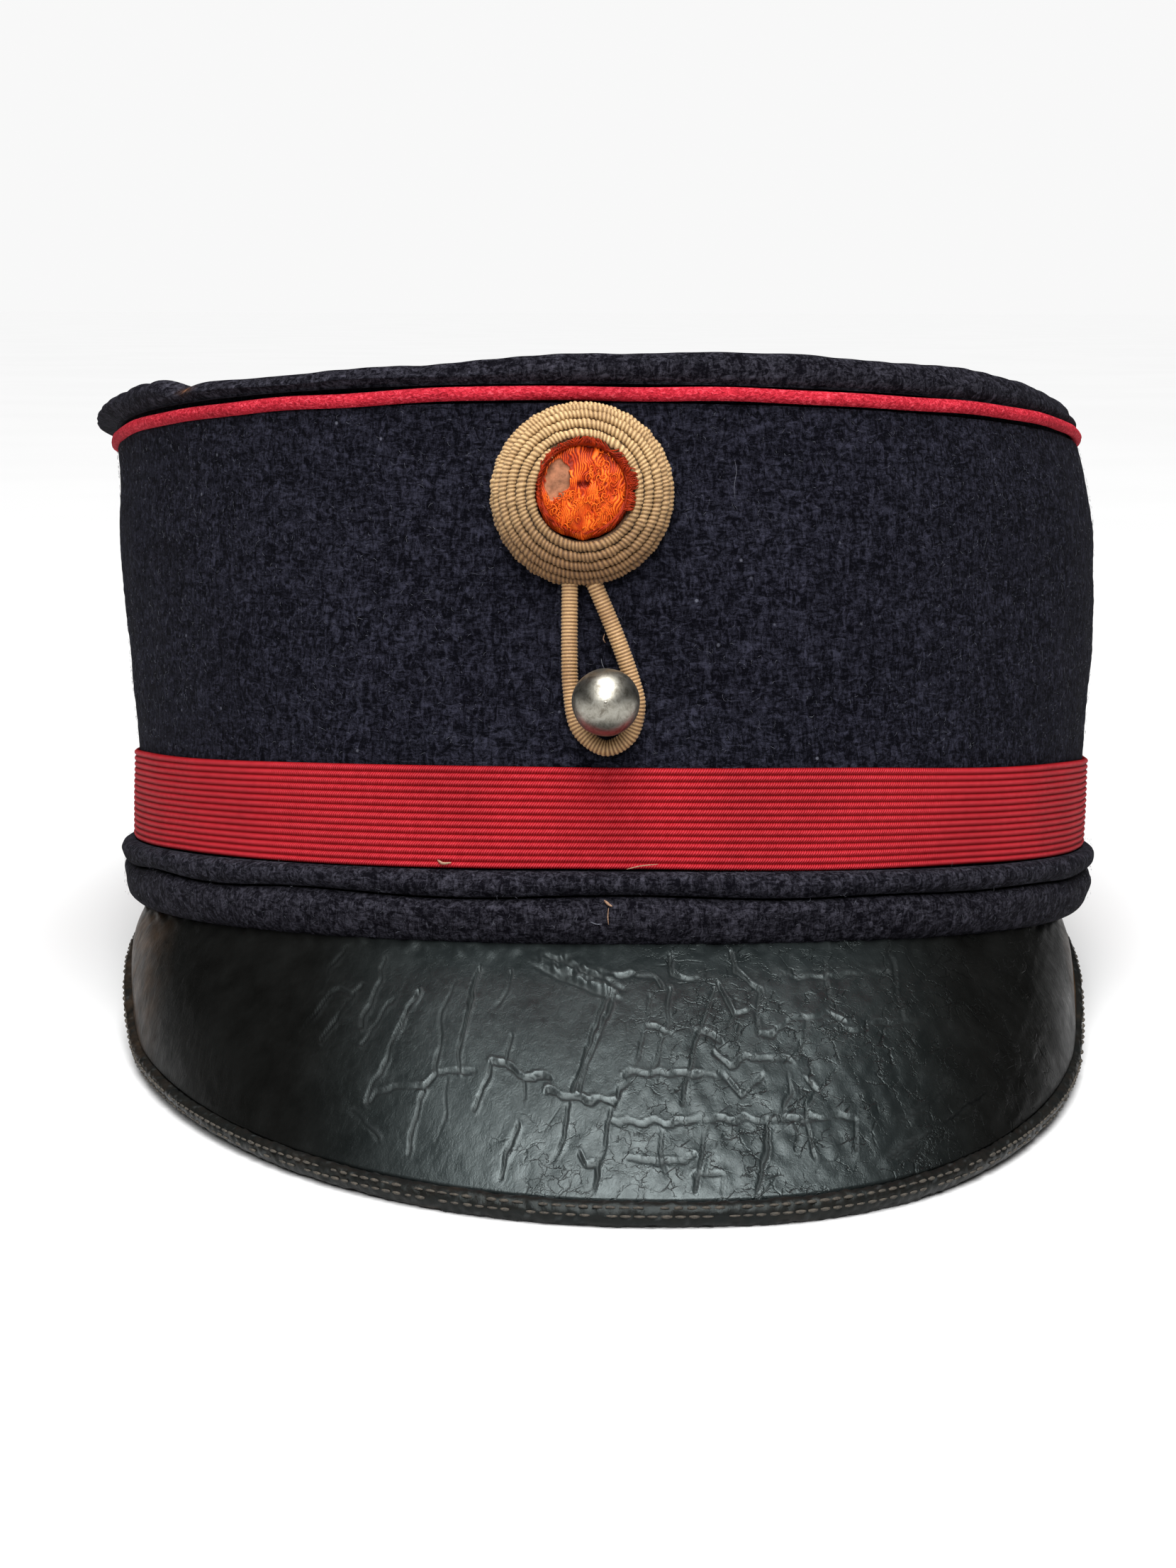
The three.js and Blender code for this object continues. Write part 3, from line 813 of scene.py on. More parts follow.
# Cracks in the peak's lacquer as seen from the front: depth, then x, z of the line's corners.
CRACKS = [
    (0.5, [(-38.5, -1), (-39, -2), (-40.5, -3.5), (-41.5, -6.5)]),
    (0.8, [(-40, -6.5), (-42, -9.5), (-43.5, -12)]),
    (0.5, [(-40, -6.5), (-37, -6.5), (-35.5, -5.5)]),
    (0.6, [(-36.5, -6.5), (-38, -8.5), (-39, -10.5), (-40.5, -12.5)]),
    (0.8, [(-32.5, -2), (-33, -3.5), (-32.5, -4.5), (-35, -9.5), (-35, -10.5)]),
    (0.5, [(-30.5, -6.5), (-33, -10.5), (-34.5, -12.5)]),
    (1.2, [(-27, -6), (-30, -11.5), (-30.5, -14), (-32, -16.5), (-33.5, -19.5)]),
    (0.8, [(-33.5, -19.5), (-29.5, -17.5), (-25, -17), (-23.5, -15.5), (-20.5, -15), (-18, -15)]),
    (0.7, [(-22, -4.5), (-23.5, -8), (-23.5, -12), (-23.5, -15.5)]),
    (1.2, [(-18.5, -3), (-19.5, -5.5), (-20, -9), (-20.5, -12.5), (-20.5, -15)]),
    (0.7, [(-14, -3), (-14.5, -5.5), (-16, -7.5)]),
    (0.5, [(-13.5, -10.5), (-14, -14)]),
    (1.3, [(-16, -14), (-14, -14), (-11.5, -15.5), (-8, -15.5)]),
    (0.7, [(-16, -14), (-16.5, -16.5), (-18, -19.5)]),
    (0.5, [(-11.5, -16), (-11.5, -18)]),
    (0.9, [(-12, -21), (-13.5, -24), (-14.5, -27)]),
    (0.9, [(-25, -17.5), (-26, -21), (-27, -25)]),
    (0.6, [(-22, -16.5), (-22, -20.5), (-23, -23.5)]),
    (1.4, [(0, -5.5), (-2, -9.5), (-3.5, -13), (-5, -17)]),
    (1.0, [(0.8, -5.8), (-1.2, -9.7), (-2.8, -13.2), (-4.2, -17)]),
    (0.9, [(-5.5, -18.5), (-6, -22), (-7.5, -25)]),
    (1.5, [(-8.5, -17), (-5.5, -17.7), (0.5, -18)]),
    (1.1, [(0.2, -19), (-0.8, -23.5), (-2.4, -28.7)]),
    (0.9, [(-4, -24), (-3, -25), (-1.5, -25)]),
    (0.7, [(-35, -20.5), (-31, -23.5)]),
    (0.8, [(8.5, -1.5), (8.5, -3), (10, -4), (12, -4)]),
    (0.9, [(0.5, -3.5), (5, -3.5), (7, -5)]),
    (0.7, [(8.5, -5), (7.5, -9.5), (6.5, -13), (5.5, -15)]),
    (0.8, [(14.5, -5), (13, -8.5), (11, -13), (9.5, -18)]),
    (0.6, [(5.5, -6), (5, -9.5), (3, -14.5), (0.5, -18.5)]),
    (0.9, [(17, -1), (17.5, -3), (19.5, -4.5), (21, -5.5), (20.5, -8), (20, -10.5), (22.5, -10.5)]),
    (0.9, [(15, -4.5), (16, -6.5), (17, -8), (20, -7.5)]),
    (0.6, [(17, -8), (16, -11)]),
    (1.0, [(5, -9.5), (8.5, -10.5)]),
    (1.0, [(12, -10), (15, -11)]),
    (0.9, [(14, -12.5), (16, -14), (18.5, -13), (24.5, -13.5)]),
    (0.6, [(22.5, -10.5), (24.5, -9), (27.5, -9), (30, -8.5), (32.5, -9.5)]),
    (0.6, [(33, -10.5), (37, -10), (43, -10)]),
    (0.5, [(24.5, -4), (30, -4.5), (34, -4), (39.5, -4)]),
    (0.6, [(31, -0.5), (30.5, -3), (30.5, -6.5)]),
    (0.5, [(25.5, -1.5), (25, -4)]),
    (0.6, [(40.5, -0.5), (40.5, -4.5), (41, -9.5)]),
    (0.5, [(27.5, -9), (26.5, -11), (25, -13)]),
    (1.1, [(2, -15), (5, -15), (11, -15), (14, -15)]),
    (0.9, [(0.5, -20.5), (6.5, -20.5), (13, -20), (21.5, -20), (25.5, -20)]),
    (1.0, [(21, -20.5), (20.5, -23.5), (19, -28.5)]),
    (1.0, [(13, -20.5), (12, -24.5), (11, -28)]),
    (0.7, [(7, -21.5), (6.5, -25), (8, -28)]),
    (1.0, [(2.5, -24.5), (8, -25), (11, -24)]),
    (0.7, [(11, -26), (15, -26), (14.5, -28)]),
    (0.7, [(15, -15), (17.5, -17), (20.5, -15)]),
    (0.6, [(24, -15), (24.5, -17), (22.5, -20)]),
    (0.6, [(26.5, -15.5), (28, -17), (26, -20)]),
    (0.5, [(26, -20), (27, -24.5)]),
    (0.6, [(25.5, -20), (31.5, -20), (33, -20.5), (32.5, -24)]),
    (1.1, [(37, -25.5), (41.5, -23.5), (44.5, -22.5), (52.5, -19.5)]),
    (0.6, [(39, -21), (43, -20), (47, -18)]),
]
GROOVE = {"width": 0.17, "depth": 0.50, "lip_from": 0.37, "lip_height": 0.15}


def nearest_line(x, z, corners):
    """The distance from each x, z to a broken line, less than zero on its left."""
    nearest = np.full(x.shape, 1e9)
    side = np.ones(x.shape)
    for (ax, az), (bx, bz) in zip(corners, corners[1:]):
        dx, dz = bx - ax, bz - az
        t = np.clip(((x - ax) * dx + (z - az) * dz) / (dx * dx + dz * dz), 0, 1)
        far = np.hypot(x - ax - t * dx, z - az - t * dz)
        closer = far < nearest
        side = np.where(closer, np.sign(dx * (z - az) - dz * (x - ax)), side)
        nearest = np.where(closer, far, nearest)
    return nearest * side


def crack_field(x, z):
    """How deep each point lies in a crack, and how far it lies on the lip beside one, each 0 to 1."""
    bent_x = x + 0.18 * waves(71, 8, 3.5, x, z) + 0.05 * waves(72, 8, 1.3, x, z)
    bent_z = z + 0.18 * waves(73, 8, 3.5, x, z) + 0.05 * waves(74, 8, 1.3, x, z)
    fickle = np.clip(0.8 + 0.5 * waves(75, 7, 5, x, z), 0.25, 1.3)
    groove = np.zeros(x.shape)
    lip = np.zeros(x.shape)
    for depth, corners in CRACKS:
        far = nearest_line(bent_x, bent_z, corners)
        groove = np.maximum(groove, depth * fickle * hump(far, 0, GROOVE["width"]))
        lip = np.maximum(lip, depth * fickle * hump(far, GROOVE["lip_from"], GROOVE["width"]))
    return groove, lip


def scar(x, z):
    """The torn flap near the hem: its swelling and its furrows, each 0 to 1."""
    right, up = x + 4.3, z + 3.1
    run, fall = 9.6, 3.4
    along = (right * run - up * fall) / math.hypot(run, fall)
    across = (up * run + right * fall) / math.hypot(run, fall)
    body = hump(along, 0, 5.6, 4) * hump(across, -0.1, 1.25)
    furrow = hump(along, 0, 5.4, 4) * hump(across, -1.35, 0.3)
    furrow += 0.7 * hump(along, 0, 4.6, 4) * hump(across, 0.3, 0.22)
    torn = np.clip(waves(87, 9, 1.3, 0.4 * along, 1.5 * across), 0, 1)
    return body * (1 + 0.4 * waves(86, 9, 1.2, x, z)), furrow + 0.9 * torn * body


def leather_relief(x, z, t):
    """The peak's unevenness, and what its material needs to know, at points seen from the front at x, z."""
    groove, lip = crack_field(x, z)
    swell, furrow = scar(x, z)
    broad = 0.22 * waves(81, 7, 26, x, z) + 0.05 * waves(82, 8, 9, x, z)
    grain = waves(83, 12, 2.6, x, z)
    crazed = smoothstep(x, -2, 14) * (1 - smoothstep(x, 56, 70))
    crazed = np.maximum(crazed, 0.5 * smoothstep(-z, 17, 22) * smoothstep(x, -22, -8))
    height = broad + grain * (0.012 + 0.05 * crazed)
    height = height - GROOVE["depth"] * groove + GROOVE["lip_height"] * lip
    height = height + 0.6 * swell - 0.7 * furrow
    ragged = hump(z, 0, 1.6) * waves(84, 10, 2.2, x, z)
    shares = {
        "crack": np.clip(groove + furrow, 0, 1),
        # Lighter colour on the cracks' lips and the flap's swelling, in the middle of the peak: painted
        # highlight.
        "lip": np.clip(lip + 0.3 * swell, 0, 1) * smoothstep(-np.abs(x), -52, -25),
        # Brown at the side corners: worn leather with a painted reflection.
        "worn_and_painted_reflection": np.clip(0.9 * smoothstep(-x, 66, 80) + 0.8 * smoothstep(x, 71.5, 76), 0, 1),
        # High in the middle, low at the sides and near the hem: painted reflection, and painted shade at
        # the sides and under the hem.
        "painted_sheen": smoothstep(-np.abs(x - 4), -50, -20) * (0.75 + 0.25 * smoothstep(t, 0.0, 0.3)),
        "crazed": crazed,
    }
    return height + 0.12 * ragged, shares


def peak():
    columns, rows = 680, 127
    even = np.linspace(-1, 1, columns)[:, None]
    s = even * (FRONT_SPACING + (1 - FRONT_SPACING) * even**4)
    t = np.linspace(0, 1, rows)[None, :]
    down, out = peak_axes(s)
    sewn = sewn_points(s)
    tucked_in = 0.6
    free = edge_points(s) - down * (BINDING["width"] - tucked_in)
    arch = PEAK_ARCH * 4 * t * (1 - t) * (1 - smoothstep(np.abs(s), RISE_FROM, 1))
    base = sewn + (free - sewn) * t[..., None] + out * arch[..., None]
    height, shares = leather_relief(base[..., 0], base[..., 2], np.broadcast_to(t, base.shape[:2]))
    fade = np.minimum(smoothstep(t, 0, 0.04), 1 - smoothstep(t, 0.96, 1))
    fade = fade * (1 - smoothstep(np.abs(s), 0.96, 1))
    top = base + out * (height * fade)[..., None]
    coarse = slice(0, rows, 18)
    below = (base - out * LEATHER)[:, coarse][:, ::-1]
    grid = np.concatenate([top, below], axis=1)
    faces = drawn_faces(columns, grid.shape[1])
    plain = np.zeros(below.shape[:2])
    shares = {key: np.concatenate([values, plain], axis=1) for key, values in shares.items()}
    points = grid.reshape(-1, 3)
    add_mesh("peak_leather", points, faces, LEATHER_LOOK, ["peak"], shares)


def on_binding(edge, down, out, turn, lumps=1.0):
    """Points of the binding's rounded outline beside the peak's edge, at turns from its outer side."""
    across = np.asarray(np.cos(turn) * lumps * BINDING["width"] / 2 - BINDING["inset"])
    lift = np.asarray(np.sin(turn) * lumps * BINDING["thickness"] / 2 - BINDING["sink"])
    return edge + down * across[..., None] + out * lift[..., None]


def binding():
    """The rolled strip of leather that is sewn round the peak's edge."""
    columns, sides = 680, 22
    s = np.linspace(-1, 1, columns)[:, None]
    down, out = peak_axes(s)
    turn = round_angles(sides)[None, :]
    arc = run_length(edge_points(s[:, 0]))[:, None]
    lumps = 1 + 0.05 * waves(91, 6, 7, arc, 4 * turn) + 0.05 * waves(92, 8, 1.6, arc, 1.2 * turn)
    points = on_binding(edge_points(s), down, out, turn, lumps)
    zero = np.zeros(points.shape[:2])
    patches = smoothstep(waves(95, 7, 12, arc, 2 * turn), 0.9, 2.0)
    corner = smoothstep(-points[..., 0], 60, 78)
    shares = {
        "crack": np.clip(0.8 * waves(93, 8, 2.5, arc, 6 * turn) - 0.5, 0, 1),
        "lip": np.clip(waves(94, 10, 1.6, arc, 5 * turn) - 0.9, 0, 1),
        # Brown patches, and more at the left corner: worn leather, the corner's brown also a painted
        # reflection.
        "worn_and_painted_reflection": np.clip(0.05 + 0.3 * patches + 0.2 * corner, 0, 1),
        "painted_sheen": 0.25 + zero,
        "crazed": zero,
    }
    faces = drawn_faces(columns, sides)
    points = points.reshape(-1, 3)
    add_mesh("bound_edge", points, faces, LEATHER_LOOK, ["peak_binding"], shares)


def capsule(start, end, radius, lift, normal):
    """A stitch: a thin thread from start to end that arches by lift along the normal."""
    steps, sides = 5, 5
    t = np.linspace(0, 1, steps)[:, None]
    centres = start + (end - start) * t + normal * (lift * np.sin(np.pi * t))
    radii = radius * (0.45 + 0.55 * np.sin(np.pi * np.linspace(0.06, 0.94, steps)))
    return tube(centres, radii, sides, up=normal)


def edge_stitches():
    """Two rows of waxed stitches on the rounded edge of the binding, by their angles round it."""
    rng = np.random.default_rng(7)
    stitches = []
    pitch = 1.75
    fine = np.linspace(-0.97, 0.97, 3000)
    down, out = (axis.reshape(-1, 3) for axis in peak_axes(fine[:, None]))
    for turn in (math.radians(76), math.radians(38)):
        normal = down * math.cos(turn) + out * math.sin(turn)
        line = on_binding(edge_points(fine), down, out, turn)
        length = run_length(line)
        for station in np.arange(0.5, length[-1] - 1.5, pitch):
            if rng.random() < 0.10:
                continue
            end = station + pitch * rng.uniform(0.66, 0.82)
            first, second = np.searchsorted(length, [station, end])
            radius = 0.23 * rng.uniform(0.7, 1.2)
            stitches.append(capsule(line[first], line[second], radius, 0.10, normal[first]))
    points, faces = joined_tubes(stitches)
    add_mesh("edge_stitches", points, faces, STITCH, [])


# ---- the cockade, its loop and its button ----


def on_front(x, z, out):
    """Points straight in front of the wall at x, z."""
    return oval(front_angle(np.asarray(x, float), np.asarray(z, float)), z, out)


def front_disc(radius, turn, lift, centre):
    """Points of a trim on the front wall: radius and turn as seen from the front, and lift forwards."""
    foot = on_front(centre["x"], centre["z"], GAP)
    radius, turn, lift = np.broadcast_arrays(radius, turn, lift)
    return foot + np.stack([radius * np.sin(turn), -lift, radius * np.cos(turn)], axis=-1)


def cockade():
    """Gimp wound in a spiral over a dome, from the rim inwards."""
    turns, cord, pitch, sides = 5.4, 0.68, 0.60, 10
    rise = np.linspace(0, np.pi / 2, 600)
    dome_radius = SILK_RADIUS + DOME["width"] * np.cos(rise) ** 0.9
    dome_lift = DOME["foot"] + DOME["height"] * np.sin(rise)
    dome_length = run_length(np.stack([dome_radius, dome_lift], axis=1))
    wound = np.linspace(0, 1, 12000)
    station = wound * dome_length[-1]
    wander = 0.05 * waves(103, 6, 0.9, wound * turns)
    radius = np.interp(station, dome_length, dome_radius) + wander
    lift = np.interp(station, dome_length, dome_lift)
    fine = front_disc(radius, np.pi + 2 * np.pi * turns * wound, lift, COCKADE)
    length = run_length(fine)
    stations = np.arange(0, length[-1], pitch / 6)
    centres = at_lengths(stations, length, fine)
    around = round_angles(sides)
    uneven = 0.7 * waves(101, 6, 6, stations)[:, None]
    ridge = np.abs(np.cos(np.pi * stations[:, None] / pitch + 0.6 * around[None, :] + uneven)) ** 0.6
    taper = smoothstep(stations, 0, 2.5)[:, None] * 0.6 + 0.4
    swell = 1 + 0.09 * waves(102, 6, 2.4, stations)[:, None]
    radii = taper * cord * (0.72 + 0.32 * ridge) * swell
    points, quads, caps = tube(centres, radii, sides)
    # Colour darker in the gaps between the wraps and lighter on their crowns: painted shade and highlight.
    shade = np.append(ridge.ravel() ** 2, [0.3, 0.3])
    height = np.append(np.repeat(centres[:, 2], sides), centres[[0, -1], 2])

    backing_radius = np.concatenate([[12.0], dome_radius[::40] - 0.1, [6.9, 6.6, 6.6]])
    backing_lift = np.concatenate([[0.0], dome_lift[::40] - 0.25, [4.6, 3.0, 0.0]])
    turn = round_angles(96)[:, None]
    backing = front_disc(backing_radius[None, :], turn, backing_lift[None, :], COCKADE)
    backing_faces = grid_faces(*backing.shape[:2], wrap_rows=True, wrap_columns=True) + len(points)
    points = np.vstack([points, backing.reshape(-1, 3)])
    # The backing under the coil takes the darkest colour: painted shade in the gaps.
    shade = np.append(shade, np.zeros(backing.shape[0] * backing.shape[1]))
    height = np.append(height, backing[..., 2]) - COCKADE["z"]
    # The coil's colour is darkened more the lower it lies: painted shade, as the dome's lower faces turn
    # away from the overhead light.
    shares = {"ridge": shade, "soil_and_painted_shade": 0.95 * smoothstep(-height, -7, 12)}
    faces = [*quads, *caps, *backing_faces]
    add_mesh("wound_gimp", points, faces, GIMP, ["cockade_coil"], shares)


def silk_centre():
    """Silk threads over a pad, caught by two stitches near its middle and worn bare on one side."""
    rings, spokes = 74, 360
    share = np.linspace(0.004, 1, rings)[None, :]
    turn = round_angles(spokes)[:, None]
    ragged = 1 + 0.025 * waves(114, 8, 1.1, 3 * np.cos(turn), 3 * np.sin(turn))
    radius = share * SILK_RADIUS * ragged
    x = radius * np.sin(turn)
    z = radius * np.cos(turn)
    fan = x / (1.3 + 0.05 * z) + 0.16 * waves(111, 7, 2.6, x, z) + 0.05 * waves(116, 7, 1.1, x, z)
    strand = 0.5 + 0.5 * np.sin(2 * np.pi * fan / 0.26 + 2.2 * waves(112, 7, 2, x, 0.6 * z))
    tuft = 0.5 + 0.5 * waves(113, 7, 2.2, x, 0.6 * z)
    knots = hump(x, -0.55, 0.35) * hump(z, 0.45, 0.4) + hump(x, 0.55, 0.35) * hump(z, 0.55, 0.4)
    bare_x = (x + 3.75 - 0.10 * z) / 1.75
    patch = smoothstep(1 - np.hypot(bare_x, (z - 1.1) / 2.9) + 0.06 * waves(115, 7, 1.2, x, z), -0.05, 0.06)
    hem = share**10
    lift = 4.0 + 1.5 * (1 - share**2) + (0.12 * strand + 0.30 * tuft) * (1 - patch)
    lift = lift - 0.55 * knots - 0.35 * patch - 0.5 * hem
    foot = front_disc(np.full((spokes, 1), SILK_FOOT_RADIUS), turn, 0.1, SILK_PAD)
    grid = np.concatenate([front_disc(radius, turn, lift, SILK_PAD), foot], axis=1)
    faces = turned_faces(spokes, grid.shape[1])
    light = 0.15 + strand * (0.35 + 0.65 * tuft) - 1.1 * knots - 0.35 * hem - 0.03 * z
    shares = {"strand": np.clip(light, 0, 1), "worn_and_painted_reflection": patch}
    shares = {key: np.pad(values, ((0, 0), (0, 1))) for key, values in shares.items()}
    add_mesh("silk_pad", grid.reshape(-1, 3), faces, SILK, ["cockade_centre"], shares)


# Where loose ends of silk stray over the gimp: the turn from the top, its spread, how far, how many.
FRINGES = [(1.05, 0.20, 1.3, 70), (1.45, 0.14, 1.8, 60), (1.85, 0.16, 1.7, 60), (0.15, 0.30, 1.2, 90)]
FRINGES += [(-0.55, 0.25, 1.0, 50), (3.4, 1.4, 0.8, 60), (-1.6, 0.5, 0.7, 40)]
DARK_SILK, BRIGHT_SILK = 0.10, 0.95


def silk_ends():
    """Clumps of loose silk ends over the innermost turn of gimp, and bright loops on the pad."""
    rng = np.random.default_rng(5)
    t = np.linspace(0, 1, 7)
    threads = []
    for middle, spread, reach, number in FRINGES:
        for _ in range(number):
            turn = rng.normal(middle, spread)
            far = reach * rng.uniform(0.4, 1.0)
            radius = 6.0 + far * t
            sweep = turn + (middle - turn) * 0.4 * t + rng.normal(0, 0.03) * np.sin(3 * t)
            lift = 4.7 + 0.9 * np.sin(0.6 * np.pi * t) + rng.uniform(-0.1, 0.3)
            threads.append((radius, sweep, lift, 0.15, DARK_SILK + 0.12 * rng.random()))
    for _ in range(150):
        radius = rng.uniform(1.5, 6.2)
        sweep = rng.uniform(0.3, 4.4)
        size = rng.uniform(0.3, 0.75)
        bow = rng.uniform(2, 6) * t + rng.uniform(0, 6.28)
        x = radius * math.sin(sweep) + 0.7 * size * np.sin(bow)
        z = radius * math.cos(sweep) + size * np.cos(bow)
        lift = 5.75 - 0.030 * (x * x + z * z) + 0.12 * np.sin(np.pi * t)
        threads.append((np.hypot(x, z), np.arctan2(x, z), lift, 0.09, BRIGHT_SILK - 0.5 * rng.random()))
    tubes, shades = [], []
    for radius, sweep, lift, thickness, shade in threads:
        centres = front_disc(radius, sweep, lift, SILK_PAD)
        tubes.append(tube(centres, thickness * (1.1 - 0.6 * t), 4))
        shades.append(np.full(len(tubes[-1][0]), shade))
    points, faces = joined_tubes(tubes)
    shares = {"strand": np.concatenate(shades), "worn_and_painted_reflection": np.zeros(len(points))}
    add_mesh("silk_ends", points, faces, SILK, [], shares)


def button_loop():
    """The gimp loop: a soft core wound tightly with thread."""
    pitch, sides = 0.50, 14
    route = np.array([on_front(x, z, LOOP_RADIUS + GAP) for x, z in LOOP_ROUTE])
    route[0] += (0, 0.2, 0)
    route[-1] += (0, 0.2, 0)
    centres, stations = along_route(route, pitch / 6)
    around = round_angles(sides)
    phase = 2 * np.pi * stations[:, None] / pitch + 0.9 * np.sin(around)[None, :]
    ridge = (0.5 + 0.5 * np.cos(phase + 0.3 * waves(121, 5, 6, stations)[:, None])) ** 0.7
    radii = LOOP_RADIUS * (0.90 + 0.10 * ridge)
    points, quads, caps = tube(centres, radii, sides)
    # Colour darker in the grooves between the wraps and lighter on their crowns: painted shade and
    # highlight.
    shade = np.append(ridge.ravel(), [0.3, 0.3])
    add_mesh("wound_loop", points, [*quads, *caps], CORD, ["button_loop"], {"ridge": shade})


def ball_button():
    """A hollow-stamped ball, a little dented, on its shank."""
    rings, spokes = 60, 96
    neck = math.asin(BUTTON["shank"] / BUTTON["radius"])
    arc = np.linspace(neck, math.pi - 0.01, rings)
    radius = np.concatenate([[BUTTON["shank"]], BUTTON["radius"] * np.sin(arc)])
    lift = np.concatenate([[0.0], BUTTON["stand"] - BUTTON["radius"] * np.cos(arc)])
    turn = round_angles(spokes)[:, None]
    points = front_disc(radius[None, :], turn, lift[None, :], BUTTON)
    middle = front_disc(0.0, 0.0, BUTTON["stand"], BUTTON)
    dents = 1 + 0.006 * waves(131, 8, 4.5, points[..., 0], points[..., 1], points[..., 2])
    ball = np.arange(len(radius)) > 2
    points = np.where(ball[None, :, None], middle + (points - middle) * dents[..., None], points)
    faces = turned_faces(spokes, len(radius))
    add_mesh("silvered_ball", points.reshape(-1, 3), faces, METAL, ["ball_button"])


# ---- loose fibres ----


def strand_cloud(name, material, seed, number, lengths, radius, where):
    """Short curled fibres lying on the cloth. where(rng) gives an angle, a height and a distance out."""
    rng = np.random.default_rng(seed)
    strands = []
    for _ in range(number):
        phi, z, out = where(rng)
        length = rng.uniform(*lengths)
        heading = rng.uniform(0, 2 * np.pi)
        curl = rng.normal(0, 1.2)
        t = np.linspace(0, 1, 4)
        direction = heading + curl * t
        step = length / 3
        du = np.concatenate([[0], np.cumsum(np.cos(direction[:-1]) * step)])
        dz = np.concatenate([[0], np.cumsum(np.sin(direction[:-1]) * step)])
        centres = oval(phi + du / MEAN_RADIUS, z + dz, out + 0.12 * np.sin(np.pi * t))
        strands.append(tube(centres, radius * (1 - 0.5 * np.abs(2 * t - 1)), 3, up=(0, 0.1, 1)))
    points, faces = joined_tubes(strands)
    add_mesh(name, points, faces, material, [])


# The heights between which lint lies on the wall and on the rolls.
BARE_WALL, ROLLS = (27, 76), (1.5, 10.5)


def loose_fibres():
    def on_wall(rng):
        return rng.uniform(-np.pi, np.pi), rng.uniform(*BARE_WALL), 0.12

    def on_rolls(rng):
        z = rng.uniform(*ROLLS)
        return rng.uniform(-np.pi, np.pi), z, 2.35

    strand_cloud("wall_lint", LINT, 201, 4000, (0.2, 0.9), 0.028, on_wall)
    strand_cloud("wall_hairs", LINT, 203, 350, (0.9, 2.2), 0.018, on_wall)
    strand_cloud("roll_lint", LINT, 202, 700, (0.2, 0.9), 0.025, on_rolls)


# The few threads that catch the eye: material, radius, then x, z, distance out along each.
THREADS = [
    ("ribbon_tuft_a", TAN_BITS, 0.22, [(-24.5, 11.9, 1.0), (-23.6, 11.5, 1.5), (-22.5, 11.6, 1.2)]),
    ("ribbon_tuft_b", TAN_BITS, 0.10, [(2.2, 11.0, 1.6), (4.2, 11.5, 1.9), (6.6, 11.7, 1.3)]),
    ("hem_stitch", TAN_BITS, 0.20, [(-0.9, 6.6, 1.9), (-0.3, 6.1, 2.6), (0.2, 5.8, 2.6)]),
    ("hem_seam_thread", TAN_BITS, 0.07, [(-0.3, 5.6, 2.5), (-0.4, 4.4, 2.65), (-0.3, 3.2, 2.6)]),
    ("hem_lint", LINT, 0.09, [(-2.8, 3.6, 2.7), (-2.0, 3.3, 2.8), (-1.2, 3.3, 2.7)]),
    ("wall_seam_thread", TAN_BITS, 0.09, [(-1.0, 44.3, 0.1), (-1.2, 43.6, 0.4), (-0.9, 43.0, 0.1)]),
    ("button_thread", LINT, 0.06, [(-1.5, 40.8, 0.1), (-1.3, 39.9, 0.9), (-0.8, 38.9, 0.4)]),
    ("wall_hair", LINT, 0.035, [(17.3, 69, 0.1), (17.5, 67.4, 0.3), (17.2, 65.2, 0.3), (17.4, 63.4, 0.1)]),
]


def threads():
    for name, material, radius, route in THREADS:
        line = np.array([on_front(x, z, out) for x, z, out in route])
        centres, _ = along_route(line, 0.15)
        share = np.linspace(0, 1, len(centres))
        radii = radius * (1 - 0.6 * np.abs(2 * share - 1) ** 2)
        points, quads, caps = tube(centres, radii, 6, up=(0, 0.1, 1))
        add_mesh(name, points, [*quads, *caps], material, [])


# ---- camera, light and floor ----

CAMERA_PLACE = (0, -480, 39.8)
CAMERA_YAW, CAMERA_PITCH, CAMERA_ROLL = -0.0087, 0.0443, 0.0039
LENS_PIXELS, FRAME_HEIGHT = 3768, 2212


def camera():
    cy, sy = math.cos(CAMERA_YAW), math.sin(CAMERA_YAW)
    cp, sp = math.cos(CAMERA_PITCH), math.sin(CAMERA_PITCH)
    cr, sr = math.cos(CAMERA_ROLL), math.sin(CAMERA_ROLL)
    level_right = Vector((cy, -sy, 0))
    level_up = Vector((sy * sp, cy * sp, cp))
    forward = Vector((sy * cp, cy * cp, -sp))
    right = cr * level_right + sr * level_up
    up = cr * level_up - sr * level_right
    turn = PLACE.to_3x3() * (1 / MM)
    axes = Matrix((turn @ right, turn @ up, turn @ -forward)).transposed().to_4x4()
    data = bpy.data.cameras.new("camera")
    data.sensor_width = 36
    data.lens = LENS_PIXELS / FRAME_HEIGHT * data.sensor_width
    data.clip_start = 0.01
    eye = bpy.data.objects.new("camera", data)
    eye.matrix_world = Matrix.Translation(PLACE @ Vector(CAMERA_PLACE)) @ axes
    bpy.context.scene.collection.objects.link(eye)
    bpy.context.scene.camera = eye


def aimed(name, data, place_m, target_m):
    lamp = bpy.data.objects.new(name, data)
    lamp.location = place_m
    lamp.rotation_euler = (Vector(target_m) - Vector(place_m)).to_track_quat("-Z", "Y").to_euler()
    bpy.context.scene.collection.objects.link(lamp)


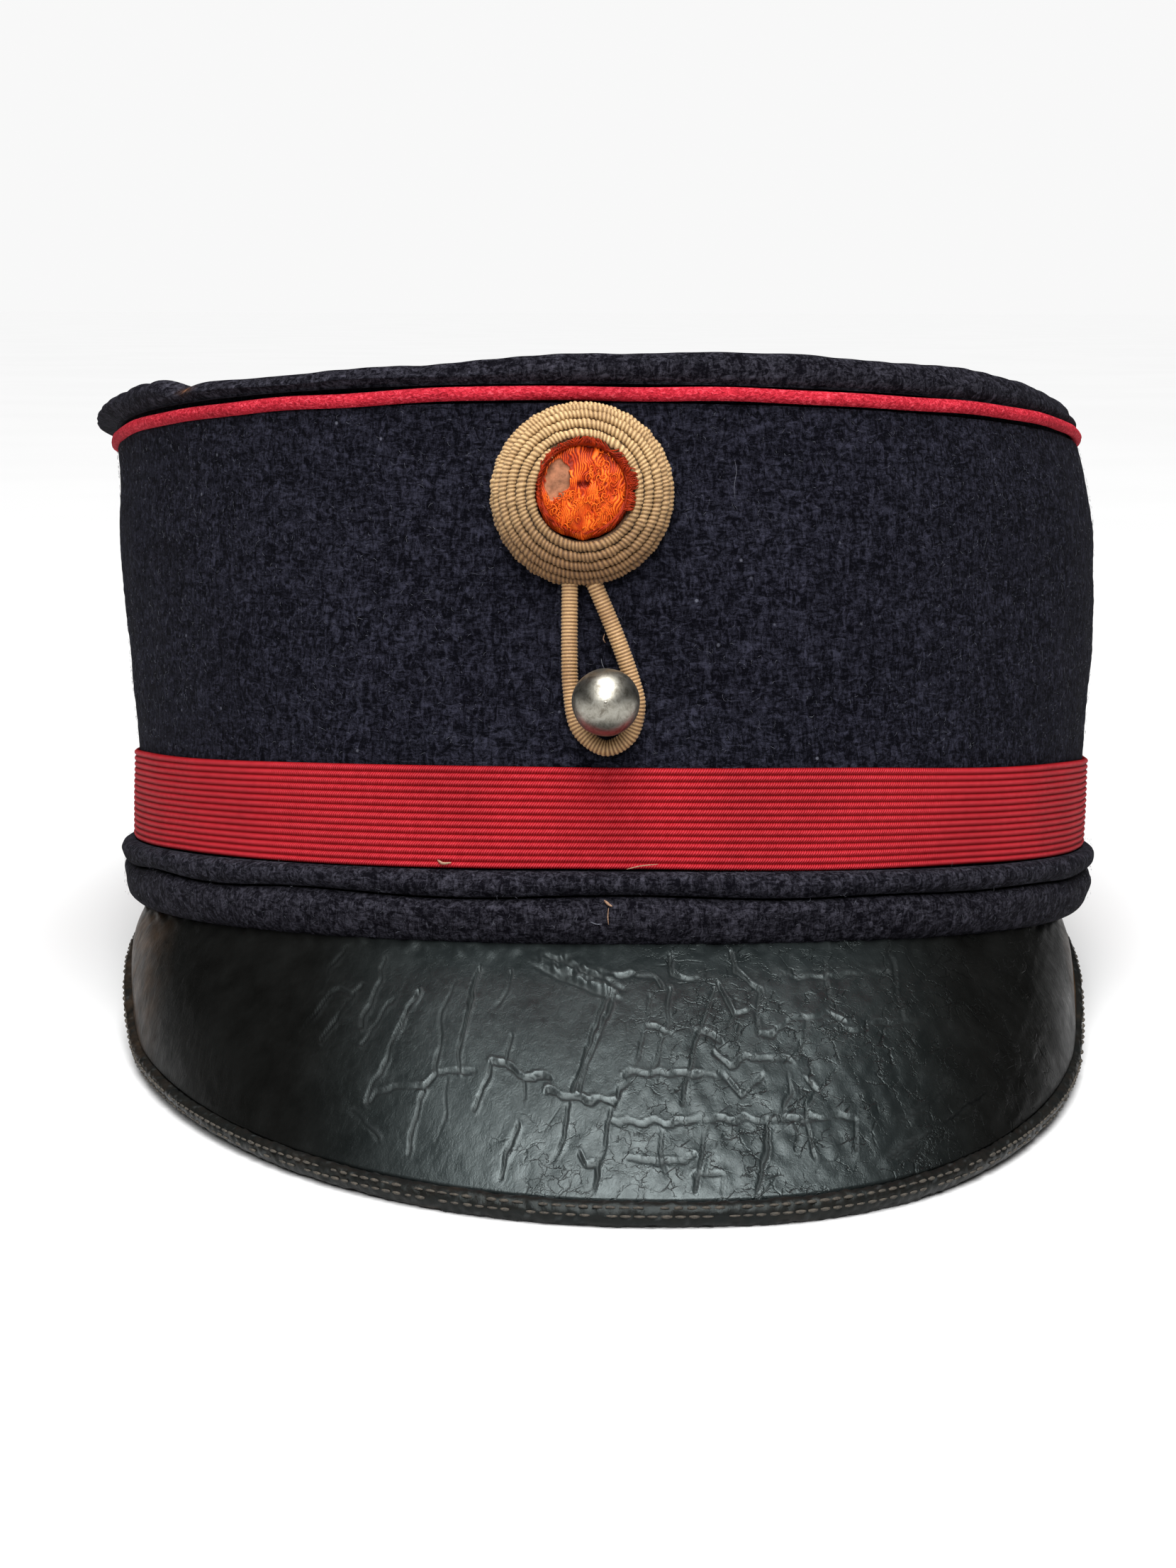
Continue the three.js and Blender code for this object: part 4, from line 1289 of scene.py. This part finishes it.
def lights(middle):
    """A very wide soft light overhead, leaning to the front, and a softer one in front."""
    sky = bpy.data.lights.new("overhead", "SUN")
    sky.energy = 5.2
    sky.angle = math.radians(44)
    aimed("overhead", sky, (0.02, -0.33, 1.0), middle)
    front = bpy.data.lights.new("front", "AREA")
    front.shape = "RECTANGLE"
    front.size, front.size_y = 0.9, 0.5
    front.energy = 22
    aimed("front", front, (-0.10, -1.35, 0.95), middle)


def backdrop():
    """A white world that the camera sees bright, and that lights the cap only faintly."""
    world = bpy.data.worlds.new("studio")
    world.use_nodes = True
    tree = world.node_tree
    seen = tree.nodes.new("ShaderNodeLightPath").outputs["Is Camera Ray"]
    strength = tree.nodes.new("ShaderNodeMapRange")
    strength.inputs["To Min"].default_value = 0.02
    strength.inputs["To Max"].default_value = 0.94
    tree.links.new(seen, strength.inputs["Value"])
    tree.nodes["Background"].inputs["Color"].default_value = (1, 1, 1, 1)
    tree.links.new(strength.outputs["Result"], tree.nodes["Background"].inputs["Strength"])
    bpy.context.scene.world = world
    bpy.context.scene.view_settings.view_transform = "Standard"


def floor_look():
    look = Look("pale_floor")
    look.surface(Base_Color=look.ramp(look.noise(3), (0.4, 0.585), (0.6, 0.595)))
    look.surface(Roughness=0.9, Specular_IOR_Level=0.0)
    return look.material


def pale_floor(height):
    reach = 40
    corners = [(-reach, -reach, 0), (reach, -reach, 0), (reach, reach, 0), (-reach, reach, 0)]
    mesh = bpy.data.meshes.new("floor")
    mesh.from_pydata(corners, [], [(0, 1, 2, 3)])
    mesh.materials.append(floor_look())
    floor = bpy.data.objects.new("floor", mesh)
    floor.location.z = height
    bpy.context.scene.collection.objects.link(floor)


def studio():
    low, high = CAD_BOUNDS
    lights(tuple((a + b) / 2 for a, b in zip(low, high)))
    backdrop()
    pale_floor(low[2])


camera()
studio()
crown_wall()
crown_top()
piping()
ribbon()
rolls()
peak()
binding()
edge_stitches()
cockade()
silk_centre()
silk_ends()
button_loop()
ball_button()
loose_fibres()
threads()
